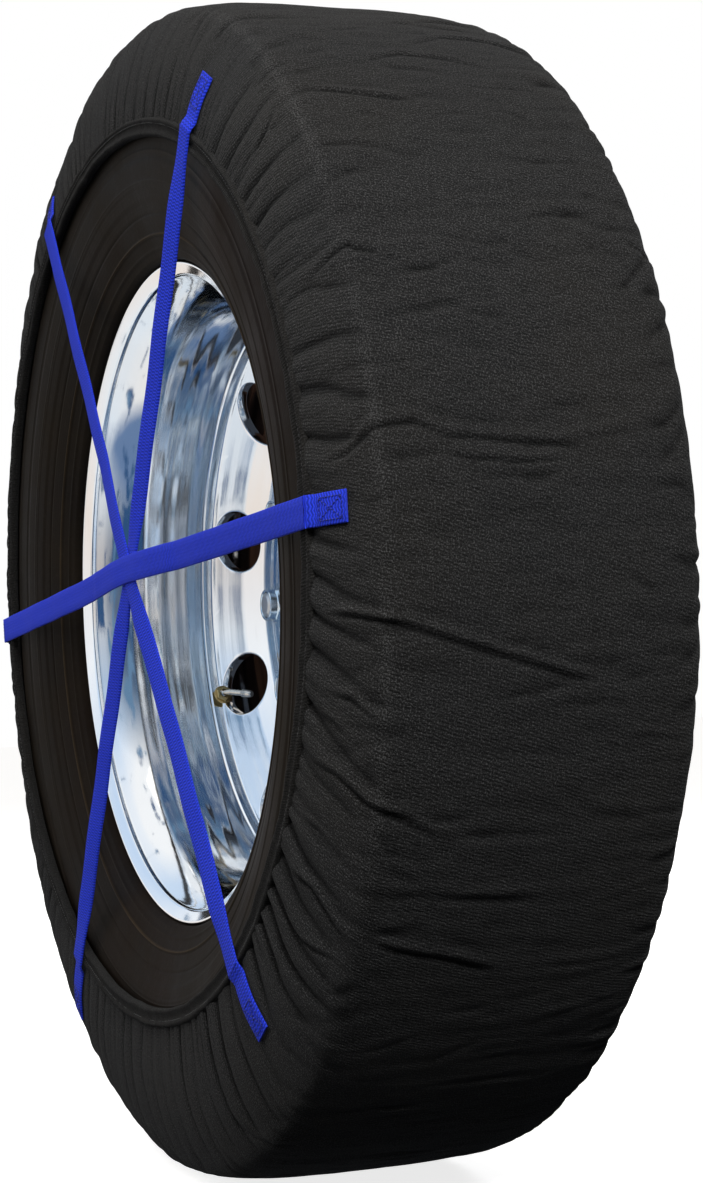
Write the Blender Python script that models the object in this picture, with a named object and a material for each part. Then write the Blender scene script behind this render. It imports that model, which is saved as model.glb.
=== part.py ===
"""A truck wheel end that wears a textile snow sock.

The wheel turns about the Y axis. The origin is the wheel's centre, on that axis and midway between
the two rim flanges. -Y is the outboard side, where the sock's opening and its straps are, and +Z is up.
"""

import math

import bmesh
import bpy
from mathutils import Vector

# Driving dimensions, in metres.
RIM_RADIUS = 0.2985
RIM_HALF_WIDTH = 0.1175
BEAD_SEAT_RADIUS = 0.2858
BEAD_HEEL_Y = 0.105
BEAD_TAPER = math.tan(math.radians(15))
WELL_RADIUS = 0.2715
BARREL_INNER_RADIUS = 0.2638

DISC_FACE_Y = 0.0425
DISC_THICKNESS = 0.022
HUB_BORE_RADIUS = 0.110
HUB_PILOT_RADIUS = 0.109
HUB_FLANGE_RADIUS = 0.168
HUB_FLANGE_FRONT_Y = 0.0755
HUB_FLANGE_BACK_Y = 0.0930
HAND_HOLES = 10
HAND_HOLE_RADIUS = 0.031
HAND_HOLE_CIRCLE = 0.232
HAND_HOLE_START = math.radians(165.8)

STUDS = 10
STUD_CIRCLE = 0.142875
STUD_RADIUS = 0.0108
STUD_START = HAND_HOLE_START + math.pi / HAND_HOLES
STUD_TIP_Y = 0.0215
STUD_HEAD_RADIUS = 0.016
STUD_HEAD_HEIGHT = 0.0065
NUT_ACROSS_FLATS = 0.033
NUT_BORE_RADIUS = 0.0131
NUT_WASHER_RADIUS = 0.024
NUT_COLLAR_RADIUS = 0.0155

TYRE_RADIUS = 0.5215
TYRE_SHOULDER_RADIUS = 0.511
TYRE_SHOULDER_Y = 0.120
TYRE_HALF_WIDTH = 0.149
TYRE_WIDEST_RADIUS = 0.405
TYRE_BEAD_HALF_WIDTH = 0.121
TYRE_BEAD_GAP = 0.0006
TREAD_GROOVE_DEPTH = 0.012
TREAD_GROOVE_WIDTH = 0.011
TREAD_GROOVES = (-0.046, 0.0, 0.046)

SOCK_RADIUS = 0.527
SOCK_SHOULDER_RADIUS = 0.5172
SOCK_SHOULDER_Y = 0.1240
SOCK_HALF_WIDTH = 0.157
SOCK_THICKNESS = 0.0045
SOCK_PANEL_EDGE_Y = 0.1212
WALL_THICKNESS = 0.0055
WALL_TOP_RADIUS = 0.515
WALL_TOP_Y = 0.126

OPENING_HALF_X = 0.446
OPENING_HALF_Z = 0.402
OPENING_CENTRE_Z = 0.018
HEM_WIDTH = 0.014
HEM_PROUD = 0.002
ELASTIC_RING_RADIUS = 0.391
ELASTIC_RADIUS = 0.0062

STRAP_WIDTH = 0.025
STRAP_THICKNESS = 0.0018
STRAP_CROSSING = (0.013, 0.021)
STRAP_LAYER_STEP = 0.0023
STRAP_STACK_STOPS = (0.16, 0.10, 0.040)
STRAP_LIFT = 0.0010
HEM_CLEAR = 0.004
# Each strap's two sewn ends, as an angle in degrees from +X towards +Z and a distance from the axis.
STRAP_ENDS = {
    "strap_a": ((61.6, 0.478), (240.4, 0.462)),
    "strap_b": ((122.0, 0.466), (309.6, 0.468)),
    "strap_c": ((183.0, 0.470), (5.4, 0.492)),
}

VALVE_ANGLE = HAND_HOLE_START + math.tau / HAND_HOLES
VALVE_Y = 0.010
VALVE_RADIUS = 0.004
VALVE_HOLE_RADIUS = 0.0062

BEARING_TILT = math.radians(12)
ROLLERS = 12
OUTER_BEARING = {"y": 0.0662, "half": 0.0095, "pitch": 0.0440, "roller": 0.0048, "flare": -1}
INNER_BEARING = {"y": 0.1540, "half": 0.0120, "pitch": 0.0545, "roller": 0.0055, "flare": 1}
OUTER_CUP_RADIUS = 0.0562
INNER_CUP_RADIUS = 0.0668
OUTER_SEAT_RADIUS = 0.0300
INNER_SEAT_RADIUS = 0.0420
THREAD_RADIUS = 0.0225
CAP_SCREWS = 6
CAP_SCREW_CIRCLE = 0.0720
CAP_SCREW_HOLE_RADIUS = 0.0046
CAP_RADIUS = 0.0800
SPINDLE_BOLTS = 6
SPINDLE_BOLT_CIRCLE = 0.0780
SPINDLE_BOLT_RADIUS = 0.0075

# Clearance between solids that press or screw together.
GAP = 0.0004

BIG_SEGMENTS = 36
SMALL_SEGMENTS = 24


def clear_scene():
    for obj in list(bpy.data.objects):
        bpy.data.objects.remove(obj, do_unlink=True)


def material(name, color, roughness, metallic=0.0):
    made = bpy.data.materials.new(name)
    made.use_nodes = True
    shader = made.node_tree.nodes["Principled BSDF"]
    shader.inputs["Base Color"].default_value = (*color, 1.0)
    shader.inputs["Roughness"].default_value = roughness
    shader.inputs["Metallic"].default_value = metallic
    return made


def add_object(name, bm, look, parent=None, smooth=True):
    """Turn the bmesh into a named object whose faces point out."""
    bmesh.ops.recalc_face_normals(bm, faces=bm.faces)
    mesh = bpy.data.meshes.new(name)
    bm.to_mesh(mesh)
    bm.free()
    obj = bpy.data.objects.new(name, mesh)
    bpy.context.scene.collection.objects.link(obj)
    if smooth:
        mesh.shade_smooth()
        mesh.set_sharp_from_angle(angle=math.radians(35))
    if look:
        mesh.materials.append(look)
    if parent:
        obj.parent = parent
    return obj


def polar(radius, angle, y):
    """A point at a distance and an angle from the spin axis. The angle runs from +X towards +Z."""
    return Vector((radius * math.cos(angle), y, radius * math.sin(angle)))


def bridge(bm, first, second):
    """Join two loops of vertices with quads. A loop of one vertex is a pole."""
    count = max(len(first), len(second))
    for i in range(count):
        j = (i + 1) % count
        if len(first) == 1:
            bm.faces.new((first[0], second[i], second[j]))
        elif len(second) == 1:
            bm.faces.new((first[j], first[i], second[0]))
        else:
            bm.faces.new((first[j], first[i], second[i], second[j]))


def loft(bm, loops, closed):
    """Skin a row of point loops: round to the first again if closed, or else with an end cap each."""
    rows = [[bm.verts.new(point) for point in loop] for loop in loops]
    for first, second in zip(rows, rows[1:]):
        bridge(bm, first, second)
    if closed:
        bridge(bm, rows[-1], rows[0])
        return
    for row in (rows[0], rows[-1]):
        if len(row) > 2:
            bm.faces.new(row)


def turn(bm, outline, segments, centre=(0.0, 0.0), start=0.0):
    """Revolve an outline of (radius, y) points about a line along Y. A radius of 0 is a pole."""
    offset = Vector((centre[0], 0.0, centre[1]))
    loops = []
    for radius, y in outline:
        count = segments if radius else 1
        angles = [start + math.tau * k / segments for k in range(count)]
        loops.append([polar(radius, angle, y) + offset for angle in angles])
    loft(bm, loops, closed=bool(outline[0][0]))


def turned(name, outline, look, parent, segments=SMALL_SEGMENTS):
    bm = bmesh.new()
    turn(bm, outline, segments)
    return add_object(name, bm, look, parent)


def copies(name, bm, places, look, parent, smooth=True):
    """One object for each place (x, z), all with the same mesh, numbered from 1."""
    first = add_object(f"{name}_01", bm, look, parent, smooth)
    first.location = (places[0][0], 0.0, places[0][1])
    for number, (x, z) in enumerate(places[1:], start=2):
        obj = bpy.data.objects.new(f"{name}_{number:02d}", first.data)
        bpy.context.scene.collection.objects.link(obj)
        obj.parent = parent
        obj.location = (x, 0.0, z)


def circle_places(count, radius, start):
    angles = [start + math.tau * k / count for k in range(count)]
    return [(radius * math.cos(angle), radius * math.sin(angle)) for angle in angles]


def rod(bm, centre, radius, low_y, high_y, sides, start=0.0):
    """A plain round bar along Y, closed at both ends."""
    offset = Vector((centre[0], 0.0, centre[1]))
    angles = [start + math.tau * k / sides for k in range(sides)]
    loft(bm, [[polar(radius, a, y) + offset for a in angles] for y in (low_y, high_y)], closed=False)


def cut(target, name, bars):
    """Subtract straight round bars from the target: (centres, radius, low y, high y, sides)."""
    bm = bmesh.new()
    for centres, radius, low_y, high_y, sides in bars:
        for centre in centres:
            rod(bm, centre, radius, low_y, high_y, sides)
    cutter = add_object(name, bm, None)
    cutter.hide_render = True
    cutter.display_type = "WIRE"
    modifier = target.modifiers.new(name, "BOOLEAN")
    modifier.operation = "DIFFERENCE"
    modifier.object = cutter


def tube(name, path, radii, look, parent, sides=8):
    """A round bar that follows a path of points, with its radius at each."""
    bm = bmesh.new()
    loops = []
    for i, point in enumerate(path):
        along = (path[min(i + 1, len(path) - 1)] - path[max(i - 1, 0)]).normalized()
        across = along.cross(Vector((0.0, 0.3, 1.0))).normalized()
        up = along.cross(across)
        angles = [math.tau * k / sides for k in range(sides)]
        loops.append([point + radii[i] * (math.cos(a) * across + math.sin(a) * up) for a in angles])
    loft(bm, loops, closed=False)
    return add_object(name, bm, look, parent)


# Shapes that several pieces share.


def crown(y, top_radius, shoulder_radius, shoulder_y):
    """The radius of the tread at y: nearly flat, and rounded off towards its shoulders."""
    return top_radius - (top_radius - shoulder_radius) * (abs(y) / shoulder_y) ** 4


def tyre_side(radius):
    """How far the tyre's sidewall stands from the middle plane at a radius."""
    if radius > TYRE_WIDEST_RADIUS:
        share = (radius - TYRE_WIDEST_RADIUS) / (TYRE_SHOULDER_RADIUS - TYRE_WIDEST_RADIUS)
        return TYRE_HALF_WIDTH - (TYRE_HALF_WIDTH - TYRE_SHOULDER_Y) * share**2.3
    share = (TYRE_WIDEST_RADIUS - radius) / (TYRE_WIDEST_RADIUS - RIM_RADIUS)
    return TYRE_HALF_WIDTH - (TYRE_HALF_WIDTH - TYRE_BEAD_HALF_WIDTH) * share**2.0


def sock_side(radius):
    """How far the sock's outer surface stands from the middle plane at a radius."""
    share = max(radius - TYRE_WIDEST_RADIUS, 0.0) / (WALL_TOP_RADIUS - TYRE_WIDEST_RADIUS)
    return SOCK_HALF_WIDTH - (SOCK_HALF_WIDTH - WALL_TOP_Y) * share**2.5


def opening_edge(angle):
    """The distance from the axis to the sock's outboard opening, an ellipse that sits a little high."""
    c, s = math.cos(angle), math.sin(angle)
    a = (c / OPENING_HALF_X) ** 2 + (s / OPENING_HALF_Z) ** 2
    b = -2 * s * OPENING_CENTRE_Z / OPENING_HALF_Z**2
    d = (OPENING_CENTRE_Z / OPENING_HALF_Z) ** 2 - 1
    return (-b + math.sqrt(b * b - 4 * a * d)) / (2 * a)


def seat_radius(y):
    """The radius of the rim's tapered bead seat at y."""
    return BEAD_SEAT_RADIUS - BEAD_TAPER * (BEAD_HEEL_Y - abs(y))


# The tyre and the wheel.


def make_tyre(look, parent):
    side = [(seat_radius(y) + TYRE_BEAD_GAP, y) for y in (0.076, 0.1043)]
    side += [(0.2994, 0.1082), (0.3004, 0.1200)]
    side += [(radius, tyre_side(radius)) for radius in (0.335, 0.370, 0.405, 0.447, 0.485)]
    side += [(TYRE_SHOULDER_RADIUS, TYRE_SHOULDER_Y)]
    tread = [-0.100, *TREAD_GROOVES, 0.100]
    outline = [(radius, -y) for radius, y in side]
    for y in tread:
        radius = crown(y, TYRE_RADIUS, TYRE_SHOULDER_RADIUS, TYRE_SHOULDER_Y)
        if y not in TREAD_GROOVES:
            outline.append((radius, y))
            continue
        low, high = y - TREAD_GROOVE_WIDTH / 2, y + TREAD_GROOVE_WIDTH / 2
        floor = radius - TREAD_GROOVE_DEPTH
        outline += [(radius, low), (floor, low), (floor, high), (radius, high)]
    outline += [(radius, y) for radius, y in reversed(side)]
    cavity = [(0.303, 0.078), (0.345, 0.110), (0.405, 0.131), (0.463, 0.124), (0.497, 0.095)]
    outline += cavity + [(radius, -y) for radius, y in reversed(cavity)]
    return turned("tyre", outline, look, parent, BIG_SEGMENTS)


def make_wheel(look, parent):
    """One forged piece: two rim flanges, the barrel between them, and the dished disc."""
    flange = [
        (0.2930, RIM_HALF_WIDTH),
        (0.2970, RIM_HALF_WIDTH),
        (RIM_RADIUS, 0.1160),
        (RIM_RADIUS, 0.1118),
        (BEAD_SEAT_RADIUS, BEAD_HEEL_Y),
    ]
    seat_end_y = BEAD_HEEL_Y - (BEAD_SEAT_RADIUS - WELL_RADIUS) / BEAD_TAPER
    inside = [(BARREL_INNER_RADIUS, 0.052), (0.2690, 0.078), (0.2765, 0.0985), (0.2860, 0.1080)]
    back_y = DISC_FACE_Y + DISC_THICKNESS
    disc = [
        (BARREL_INNER_RADIUS, 0.034),
        (0.236, 0.040),
        (0.205, 0.0555),
        (0.178, back_y),
        (HUB_BORE_RADIUS, back_y),
        (HUB_BORE_RADIUS, DISC_FACE_Y),
        (0.166, DISC_FACE_Y),
        (0.184, 0.0400),
        (0.201, 0.0340),
        (HAND_HOLE_CIRCLE, 0.0180),
        (0.252, 0.0055),
        (0.2620, -0.0040),
        (BARREL_INNER_RADIUS, -0.0080),
    ]
    outline = [(radius, -y) for radius, y in flange]
    outline += [(WELL_RADIUS, -seat_end_y), (WELL_RADIUS, seat_end_y)]
    outline += list(reversed(flange)) + list(reversed(inside)) + disc
    outline += [(radius, -y) for radius, y in inside]
    wheel = turned("wheel", outline, look, parent, BIG_SEGMENTS)
    hand_holes = circle_places(HAND_HOLES, HAND_HOLE_CIRCLE, HAND_HOLE_START)
    stud_holes = circle_places(STUDS, STUD_CIRCLE, STUD_START)
    bars = [(hand_holes, HAND_HOLE_RADIUS, -0.03, 0.07, 16), (stud_holes, 0.0130, 0.03, 0.08, 8)]
    cut(wheel, "wheel_holes", bars)
    valve = tube(
        "valve_hole",
        [polar(0.300, VALVE_ANGLE, VALVE_Y), polar(0.2560, VALVE_ANGLE, VALVE_Y)],
        [VALVE_HOLE_RADIUS, VALVE_HOLE_RADIUS],
        None,
        None,
    )
    valve.hide_render = True
    valve.display_type = "WIRE"
    modifier = wheel.modifiers.new("valve_hole", "BOOLEAN")
    modifier.operation = "DIFFERENCE"
    modifier.object = valve


def make_balance_weight(look, parent):
    """A stick-on weight inside the barrel, opposite the valve, along three of the barrel's facets."""
    facet = math.tau / BIG_SEGMENTS
    bm = bmesh.new()
    section = [(0.2594, 0.038), (0.2632, 0.038), (0.2632, 0.050), (0.2594, 0.050)]
    loops = [[polar(r, facet * k, y) for r, y in section] for k in range(1, 5)]
    loft(bm, loops, closed=False)
    add_object("balance_weight", bm, look, parent)


# The snow sock.


def make_sock_tread(look, parent):
    count = 7
    heights = [SOCK_PANEL_EDGE_Y * (2 * k / (count - 1) - 1) for k in range(count)]
    outer = [(crown(y, SOCK_RADIUS, SOCK_SHOULDER_RADIUS, SOCK_SHOULDER_Y), y) for y in heights]
    inner = [(radius - SOCK_THICKNESS, y) for radius, y in reversed(outer)]
    turned("sock_tread_panel", outer + inner, look, parent, BIG_SEGMENTS)


def make_sock_wall(name, edge, sign, look, parent):
    """A side panel, from the tread's shoulder down to the opening edge(angle)."""
    steps = 4
    top = WALL_TOP_RADIUS - 0.002
    bm = bmesh.new()
    loops = []
    for k in range(BIG_SEGMENTS):
        angle = math.tau * k / BIG_SEGMENTS
        low = edge(angle) + GAP
        radii = [top + (low - top) * i / steps for i in range(1, steps + 1)]
        outer = [(WALL_TOP_RADIUS + 0.0018, WALL_TOP_Y)]
        outer += [(radius, sock_side(radius)) for radius in radii]
        inner = [(radius, y - WALL_THICKNESS) for radius, y in reversed(outer[1:])]
        inner.append((WALL_TOP_RADIUS - 0.0025, SOCK_PANEL_EDGE_Y + 0.001))
        loops.append([polar(radius, angle, sign * y) for radius, y in outer + inner])
    loft(bm, loops, closed=True)
    add_object(name, bm, look, parent)


def make_outer_hem(look, parent):
    """The folded binding round the outboard opening."""
    bm = bmesh.new()
    loops = []
    for k in range(BIG_SEGMENTS):
        angle = math.tau * k / BIG_SEGMENTS
        radius = opening_edge(angle)
        top = sock_side(radius) + HEM_PROUD
        low = sock_side(radius) - WALL_THICKNESS
        section = [
            (radius, low),
            (radius, top - 0.001),
            (radius - 0.002, top),
            (radius - HEM_WIDTH + 0.003, top),
            (radius - HEM_WIDTH, top - 0.002),
            (radius - HEM_WIDTH, low),
        ]
        loops.append([polar(r, angle, -y) for r, y in section])
    loft(bm, loops, closed=True)
    add_object("sock_outer_hem", bm, look, parent)


def make_inner_elastic(look, parent):
    """The gathered casing with the elastic in it, behind the tyre."""
    sides = 6
    y = SOCK_HALF_WIDTH - 0.0005
    angles = [math.tau * k / sides for k in range(sides)]
    outline = [
        (ELASTIC_RING_RADIUS + ELASTIC_RADIUS * math.cos(a), y + ELASTIC_RADIUS * math.sin(a))
        for a in angles
    ]
    turned("sock_inner_elastic", outline, look, parent, BIG_SEGMENTS)


def strap_height(layer, radius, edge_radius, from_crossing):
    """How far a strap's underside stands from the middle plane."""
    if radius > edge_radius + HEM_CLEAR:
        return sock_side(radius) + STRAP_LIFT
    on_hem = sock_side(edge_radius) + HEM_PROUD + STRAP_LIFT
    on_stack = SOCK_HALF_WIDTH + HEM_PROUD + STRAP_LIFT + layer * STRAP_LAYER_STEP
    share = (STRAP_STACK_STOPS[0] - from_crossing) / (STRAP_STACK_STOPS[0] - STRAP_STACK_STOPS[-1])
    return on_hem + (on_stack - on_hem) * min(max(share, 0.0), 1.0)


def strap_way(end, crossing):
    """Points from a sewn end to the crossing: down the wall, up over the hem, and straight across."""
    edge_radius = opening_edge(math.atan2(end.z, end.x))
    near = edge_radius + HEM_CLEAR
    stops = [near + (end.length - near) * share for share in (1.0, 0.6, 0.3)]
    stops += [near + 0.008, near - 0.0005, edge_radius - 0.020]
    span = (end - crossing).length
    outside = [end.lerp(crossing, (end.length - stop) / span) for stop in stops]
    return outside + [crossing.lerp(end, away / span) for away in STRAP_STACK_STOPS]


def make_strap(name, layer, look, parent):
    """A webbing strap: sewn to the wall at one end, over the hem, across the opening, and back."""
    crossing = Vector((STRAP_CROSSING[0], 0.0, STRAP_CROSSING[1]))
    ends = [polar(radius, math.radians(degrees), 0.0) for degrees, radius in STRAP_ENDS[name]]
    way = strap_way(ends[0], crossing) + [crossing] + list(reversed(strap_way(ends[1], crossing)))
    bm = bmesh.new()
    loops = []
    for i, point in enumerate(way):
        along = (way[min(i + 1, len(way) - 1)] - way[max(i - 1, 0)]).normalized()
        across = along.cross(Vector((0.0, 1.0, 0.0))) * (STRAP_WIDTH / 2)
        edge_radius = opening_edge(math.atan2(point.z, point.x))
        away = (point - crossing).length
        low = strap_height(layer, point.length, edge_radius, away)
        high = low + STRAP_THICKNESS
        corners = ((-1, low), (1, low), (1, high), (-1, high))
        loops.append([point + side * across - Vector((0.0, y, 0.0)) for side, y in corners])
    loft(bm, loops, closed=False)
    add_object(name, bm, look, parent)


# Studs, nuts, valve.


def make_wheel_fasteners(look, parent):
    """Ten studs pressed into the hub's flange, and a flanged nut on each."""
    places = circle_places(STUDS, STUD_CIRCLE, STUD_START)
    head_y = HUB_FLANGE_BACK_Y + GAP
    bm = bmesh.new()
    end_y = head_y + STUD_HEAD_HEIGHT
    outline = [(0.0, STUD_TIP_Y), (STUD_RADIUS, STUD_TIP_Y), (STUD_RADIUS, head_y)]
    outline += [(STUD_HEAD_RADIUS, head_y), (STUD_HEAD_RADIUS, end_y), (0.0, end_y)]
    turn(bm, outline, 8)
    copies("wheel_stud", bm, places, look, parent)
    corner = NUT_ACROSS_FLATS / 2 / math.cos(math.pi / 6)
    base_y = DISC_FACE_Y - GAP
    outline = [
        (NUT_BORE_RADIUS, base_y),
        (NUT_WASHER_RADIUS, base_y),
        (NUT_WASHER_RADIUS, base_y - 0.0035),
        (corner, base_y - 0.0045),
        (corner, 0.0305),
        (NUT_COLLAR_RADIUS, 0.0292),
        (NUT_COLLAR_RADIUS, 0.0222),
        (NUT_BORE_RADIUS, 0.0222),
    ]
    bm = bmesh.new()
    turn(bm, outline, 6, start=math.radians(15))
    copies("lug_nut", bm, places, look, parent, smooth=False)


def make_valve(looks, parent):
    """A bent metal valve through the barrel wall, pointing in across the hand hole."""
    route = ((0.2745, 0.0), (0.2625, 0.0), (0.2545, 0.0))
    route += ((0.2475, 0.005), (0.2405, 0.0125), (0.2335, 0.0195))
    path = [polar(radius, VALVE_ANGLE, VALVE_Y + lift) for radius, lift in route]
    tube("valve_stem", path, [VALVE_RADIUS] * len(path), looks["valve_metal"], parent)
    outward = polar(1.0, VALVE_ANGLE, 0.0)
    along = Vector((0.0, 1.0, 0.0))
    side = outward.cross(along)

    def collar(name, inner, outer, high, low, sides, look):
        """A ring round the valve's straight foot, between two distances from the spin axis."""
        bm = bmesh.new()
        angles = [math.tau * k / sides for k in range(sides)]
        loops = []
        for radius, depth in ((inner, high), (outer, high), (outer, low), (inner, low)):
            centre = outward * depth + along * VALVE_Y
            loops.append([centre + radius * (math.cos(a) * along + math.sin(a) * side) for a in angles])
        loft(bm, loops, closed=True)
        add_object(name, bm, looks[look], parent)

    collar("valve_grommet", 0.0048, 0.0100, 0.2745, 0.2722, 10, "rubber")
    collar("valve_nut", 0.0050, 0.0078, 0.2602, 0.2550, 6, "brass")
    tip = polar(0.2333, VALVE_ANGLE, VALVE_Y + 0.0197)
    way = (path[-1] - path[-2]).normalized()
    cap_path = [tip + way * 0.0006, tip + way * 0.010, tip + way * 0.0125]
    tube("valve_cap", cap_path, [0.0052, 0.0052, 0.0036], looks["valve_metal"], parent)


# The hub, its bearings and the brake drum.


def make_brake_drum(look, parent):
    outline = [
        (0.1108, 0.0652),
        (0.1950, 0.0652),
        (0.2060, 0.0760),
        (0.2060, 0.1580),
        (0.2120, 0.1620),
        (0.2120, 0.1800),
        (0.1905, 0.1800),
        (0.1905, 0.0860),
        (0.1800, 0.0750),
        (0.1108, 0.0750),
    ]
    drum = turned("brake_drum", outline, look, parent, BIG_SEGMENTS)
    stud_holes = circle_places(STUDS, STUD_CIRCLE, STUD_START)
    cut(drum, "drum_holes", [(stud_holes, 0.0125, 0.05, 0.09, 8)])


def make_hub(look, parent):
    outline = [
        (OUTER_CUP_RADIUS + GAP, 0.0480),
        (HUB_PILOT_RADIUS, 0.0480),
        (HUB_PILOT_RADIUS, HUB_FLANGE_FRONT_Y),
        (HUB_FLANGE_RADIUS, HUB_FLANGE_FRONT_Y),
        (HUB_FLANGE_RADIUS, HUB_FLANGE_BACK_Y),
        (0.1000, HUB_FLANGE_BACK_Y),
        (0.0880, 0.1050),
        (0.0840, 0.1800),
        (0.0712, 0.1800),
        (0.0712, 0.1690),
        (INNER_CUP_RADIUS + GAP, 0.1690),
        (INNER_CUP_RADIUS + GAP, 0.1412),
        (0.0600, 0.1412),
        (0.0515, 0.0765),
        (OUTER_CUP_RADIUS + GAP, 0.0765),
    ]
    hub = turned("hub", outline, look, parent)
    stud_holes = circle_places(STUDS, STUD_CIRCLE, STUD_START)
    screw_holes = circle_places(CAP_SCREWS, CAP_SCREW_CIRCLE, 0.0)
    bars = [(stud_holes, 0.0119, 0.07, 0.10, 8), (screw_holes, CAP_SCREW_HOLE_RADIUS, 0.04, 0.064, 6)]
    cut(hub, "hub_holes", bars)


def make_bearing(name, bearing, cup_radius, cone_seat_radius, looks, parents):
    """A tapered roller bearing: a cup in the hub, a cone on the spindle, and the rollers between."""
    y, half, flare = bearing["y"], bearing["half"], bearing["flare"]
    reach = bearing["roller"] / math.cos(BEARING_TILT)

    def pitch(at):
        return bearing["pitch"] + flare * (at - y) * math.tan(BEARING_TILT)

    ends = (y - half, y + half)
    cup = [(cup_radius, ends[0]), (cup_radius, ends[1])]
    cup += [(pitch(end) + reach + 0.0010, end) for end in reversed(ends)]
    turned(f"{name}_bearing_cup", cup, looks["bearing_steel"], parents["hub"])
    bore = cone_seat_radius + GAP
    cone = [(bore, ends[1]), (bore, ends[0])]
    cone += [(pitch(end) - reach - GAP, end) for end in ends]
    turned(f"{name}_bearing_cone", cone, looks["bearing_steel"], parents["spindle"])
    make_roller_set(f"{name}_bearing_rollers", bearing, pitch, looks["bearing_steel"], parents[name])


def make_roller_set(name, bearing, pitch, look, parent):
    """The rollers and the cage that spaces them, as one solid: a ring with a lobe for each roller."""
    radius = bearing["roller"]
    web = 0.0010
    lobe = [(share, math.sqrt(1 - share**2) * radius) for share in (-0.92, -0.5, 0.5, 0.92)]
    loops = []
    for k in range(ROLLERS):
        middle = math.tau * k / ROLLERS
        spots = [(middle + share * radius / bearing["pitch"], height) for share, height in lobe]
        for angle, height in [(middle - math.pi / ROLLERS, web), *spots]:
            low, high = (bearing["y"] + side * 0.8 * bearing["half"] for side in (-1, 1))
            loops.append(
                [
                    polar(pitch(at) + side * height, angle, at)
                    for side, at in ((1, low), (1, high), (-1, high), (-1, low))
                ]
            )
    bm = bmesh.new()
    loft(bm, loops, closed=True)
    add_object(name, bm, look, parent)


def make_spindle(looks, parent):
    outline = [
        (0.0, 0.0300),
        (THREAD_RADIUS, 0.0300),
        (THREAD_RADIUS, 0.0562),
        (OUTER_SEAT_RADIUS, 0.0562),
        (OUTER_SEAT_RADIUS, 0.0762),
        (0.0345, 0.0790),
        (0.0405, 0.1400),
        (INNER_SEAT_RADIUS, 0.1415),
        (INNER_SEAT_RADIUS, 0.1665),
        (0.0520, 0.1665),
        (0.0520, 0.1835),
        (0.0950, 0.1855),
        (0.0950, 0.2050),
        (0.0, 0.2050),
    ]
    spindle = turned("spindle", outline, looks["forged_steel"], parent)
    bolts = circle_places(SPINDLE_BOLTS, SPINDLE_BOLT_CIRCLE, math.radians(30))
    cut(spindle, "spindle_bolt_holes", [(bolts, SPINDLE_BOLT_RADIUS, 0.17, 0.22, 8)])
    bore = THREAD_RADIUS + GAP
    washer = [(bore, 0.0525), (0.0375, 0.0525), (0.0375, 0.0558), (bore, 0.0558)]
    turned("spindle_washer", washer, looks["bolt_steel"], parent)
    lock = [(bore, 0.0432), (0.0345, 0.0432), (0.0345, 0.0446), (bore, 0.0446)]
    turned("spindle_lock_washer", lock, looks["bolt_steel"], parent)
    hex_bore = bore / math.cos(math.pi / 6) + 0.0002
    for name, low, high in (("spindle_nut", 0.0450, 0.0521), ("spindle_jam_nut", 0.0350, 0.0428)):
        nut = [(hex_bore, low), (0.0350, low), (0.0350, high), (hex_bore, high)]
        turned(name, nut, looks["bolt_steel"], parent, segments=6)


def make_hub_ends(looks, parent):
    """The oil seal behind the inner bearing, and the cap over the spindle's nose."""
    seal = [(0.0532, 0.1695), (0.0708, 0.1695), (0.0708, 0.1795), (0.0532, 0.1795)]
    turned("oil_seal", seal, looks["rubber"], parent)
    gasket = [(0.0590, 0.0470), (CAP_RADIUS, 0.0470), (CAP_RADIUS, 0.0476), (0.0590, 0.0476)]
    gasket_ring = turned("hub_cap_gasket", gasket, looks["rubber"], parent)
    cap = [
        (0.0, 0.0240),
        (0.0540, 0.0240),
        (0.0605, 0.0285),
        (0.0620, 0.0430),
        (CAP_RADIUS, 0.0430),
        (CAP_RADIUS, 0.0466),
        (0.0590, 0.0466),
        (0.0575, 0.0300),
        (0.0530, 0.0270),
        (0.0, 0.0270),
    ]
    hub_cap = turned("hub_cap", cap, looks["cap_metal"], parent)
    places = circle_places(CAP_SCREWS, CAP_SCREW_CIRCLE, 0.0)
    for target, name in ((gasket_ring, "gasket_holes"), (hub_cap, "cap_holes")):
        cut(target, name, [(places, CAP_SCREW_HOLE_RADIUS, 0.04, 0.06, 6)])
    screw = [(0.0, 0.0375), (0.0062, 0.0375), (0.0062, 0.0426), (0.0036, 0.0426), (0.0036, 0.0600)]
    bm = bmesh.new()
    turn(bm, screw + [(0.0, 0.0600)], 6)
    copies("hub_cap_screw", bm, places, looks["bolt_steel"], parent, smooth=False)


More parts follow.
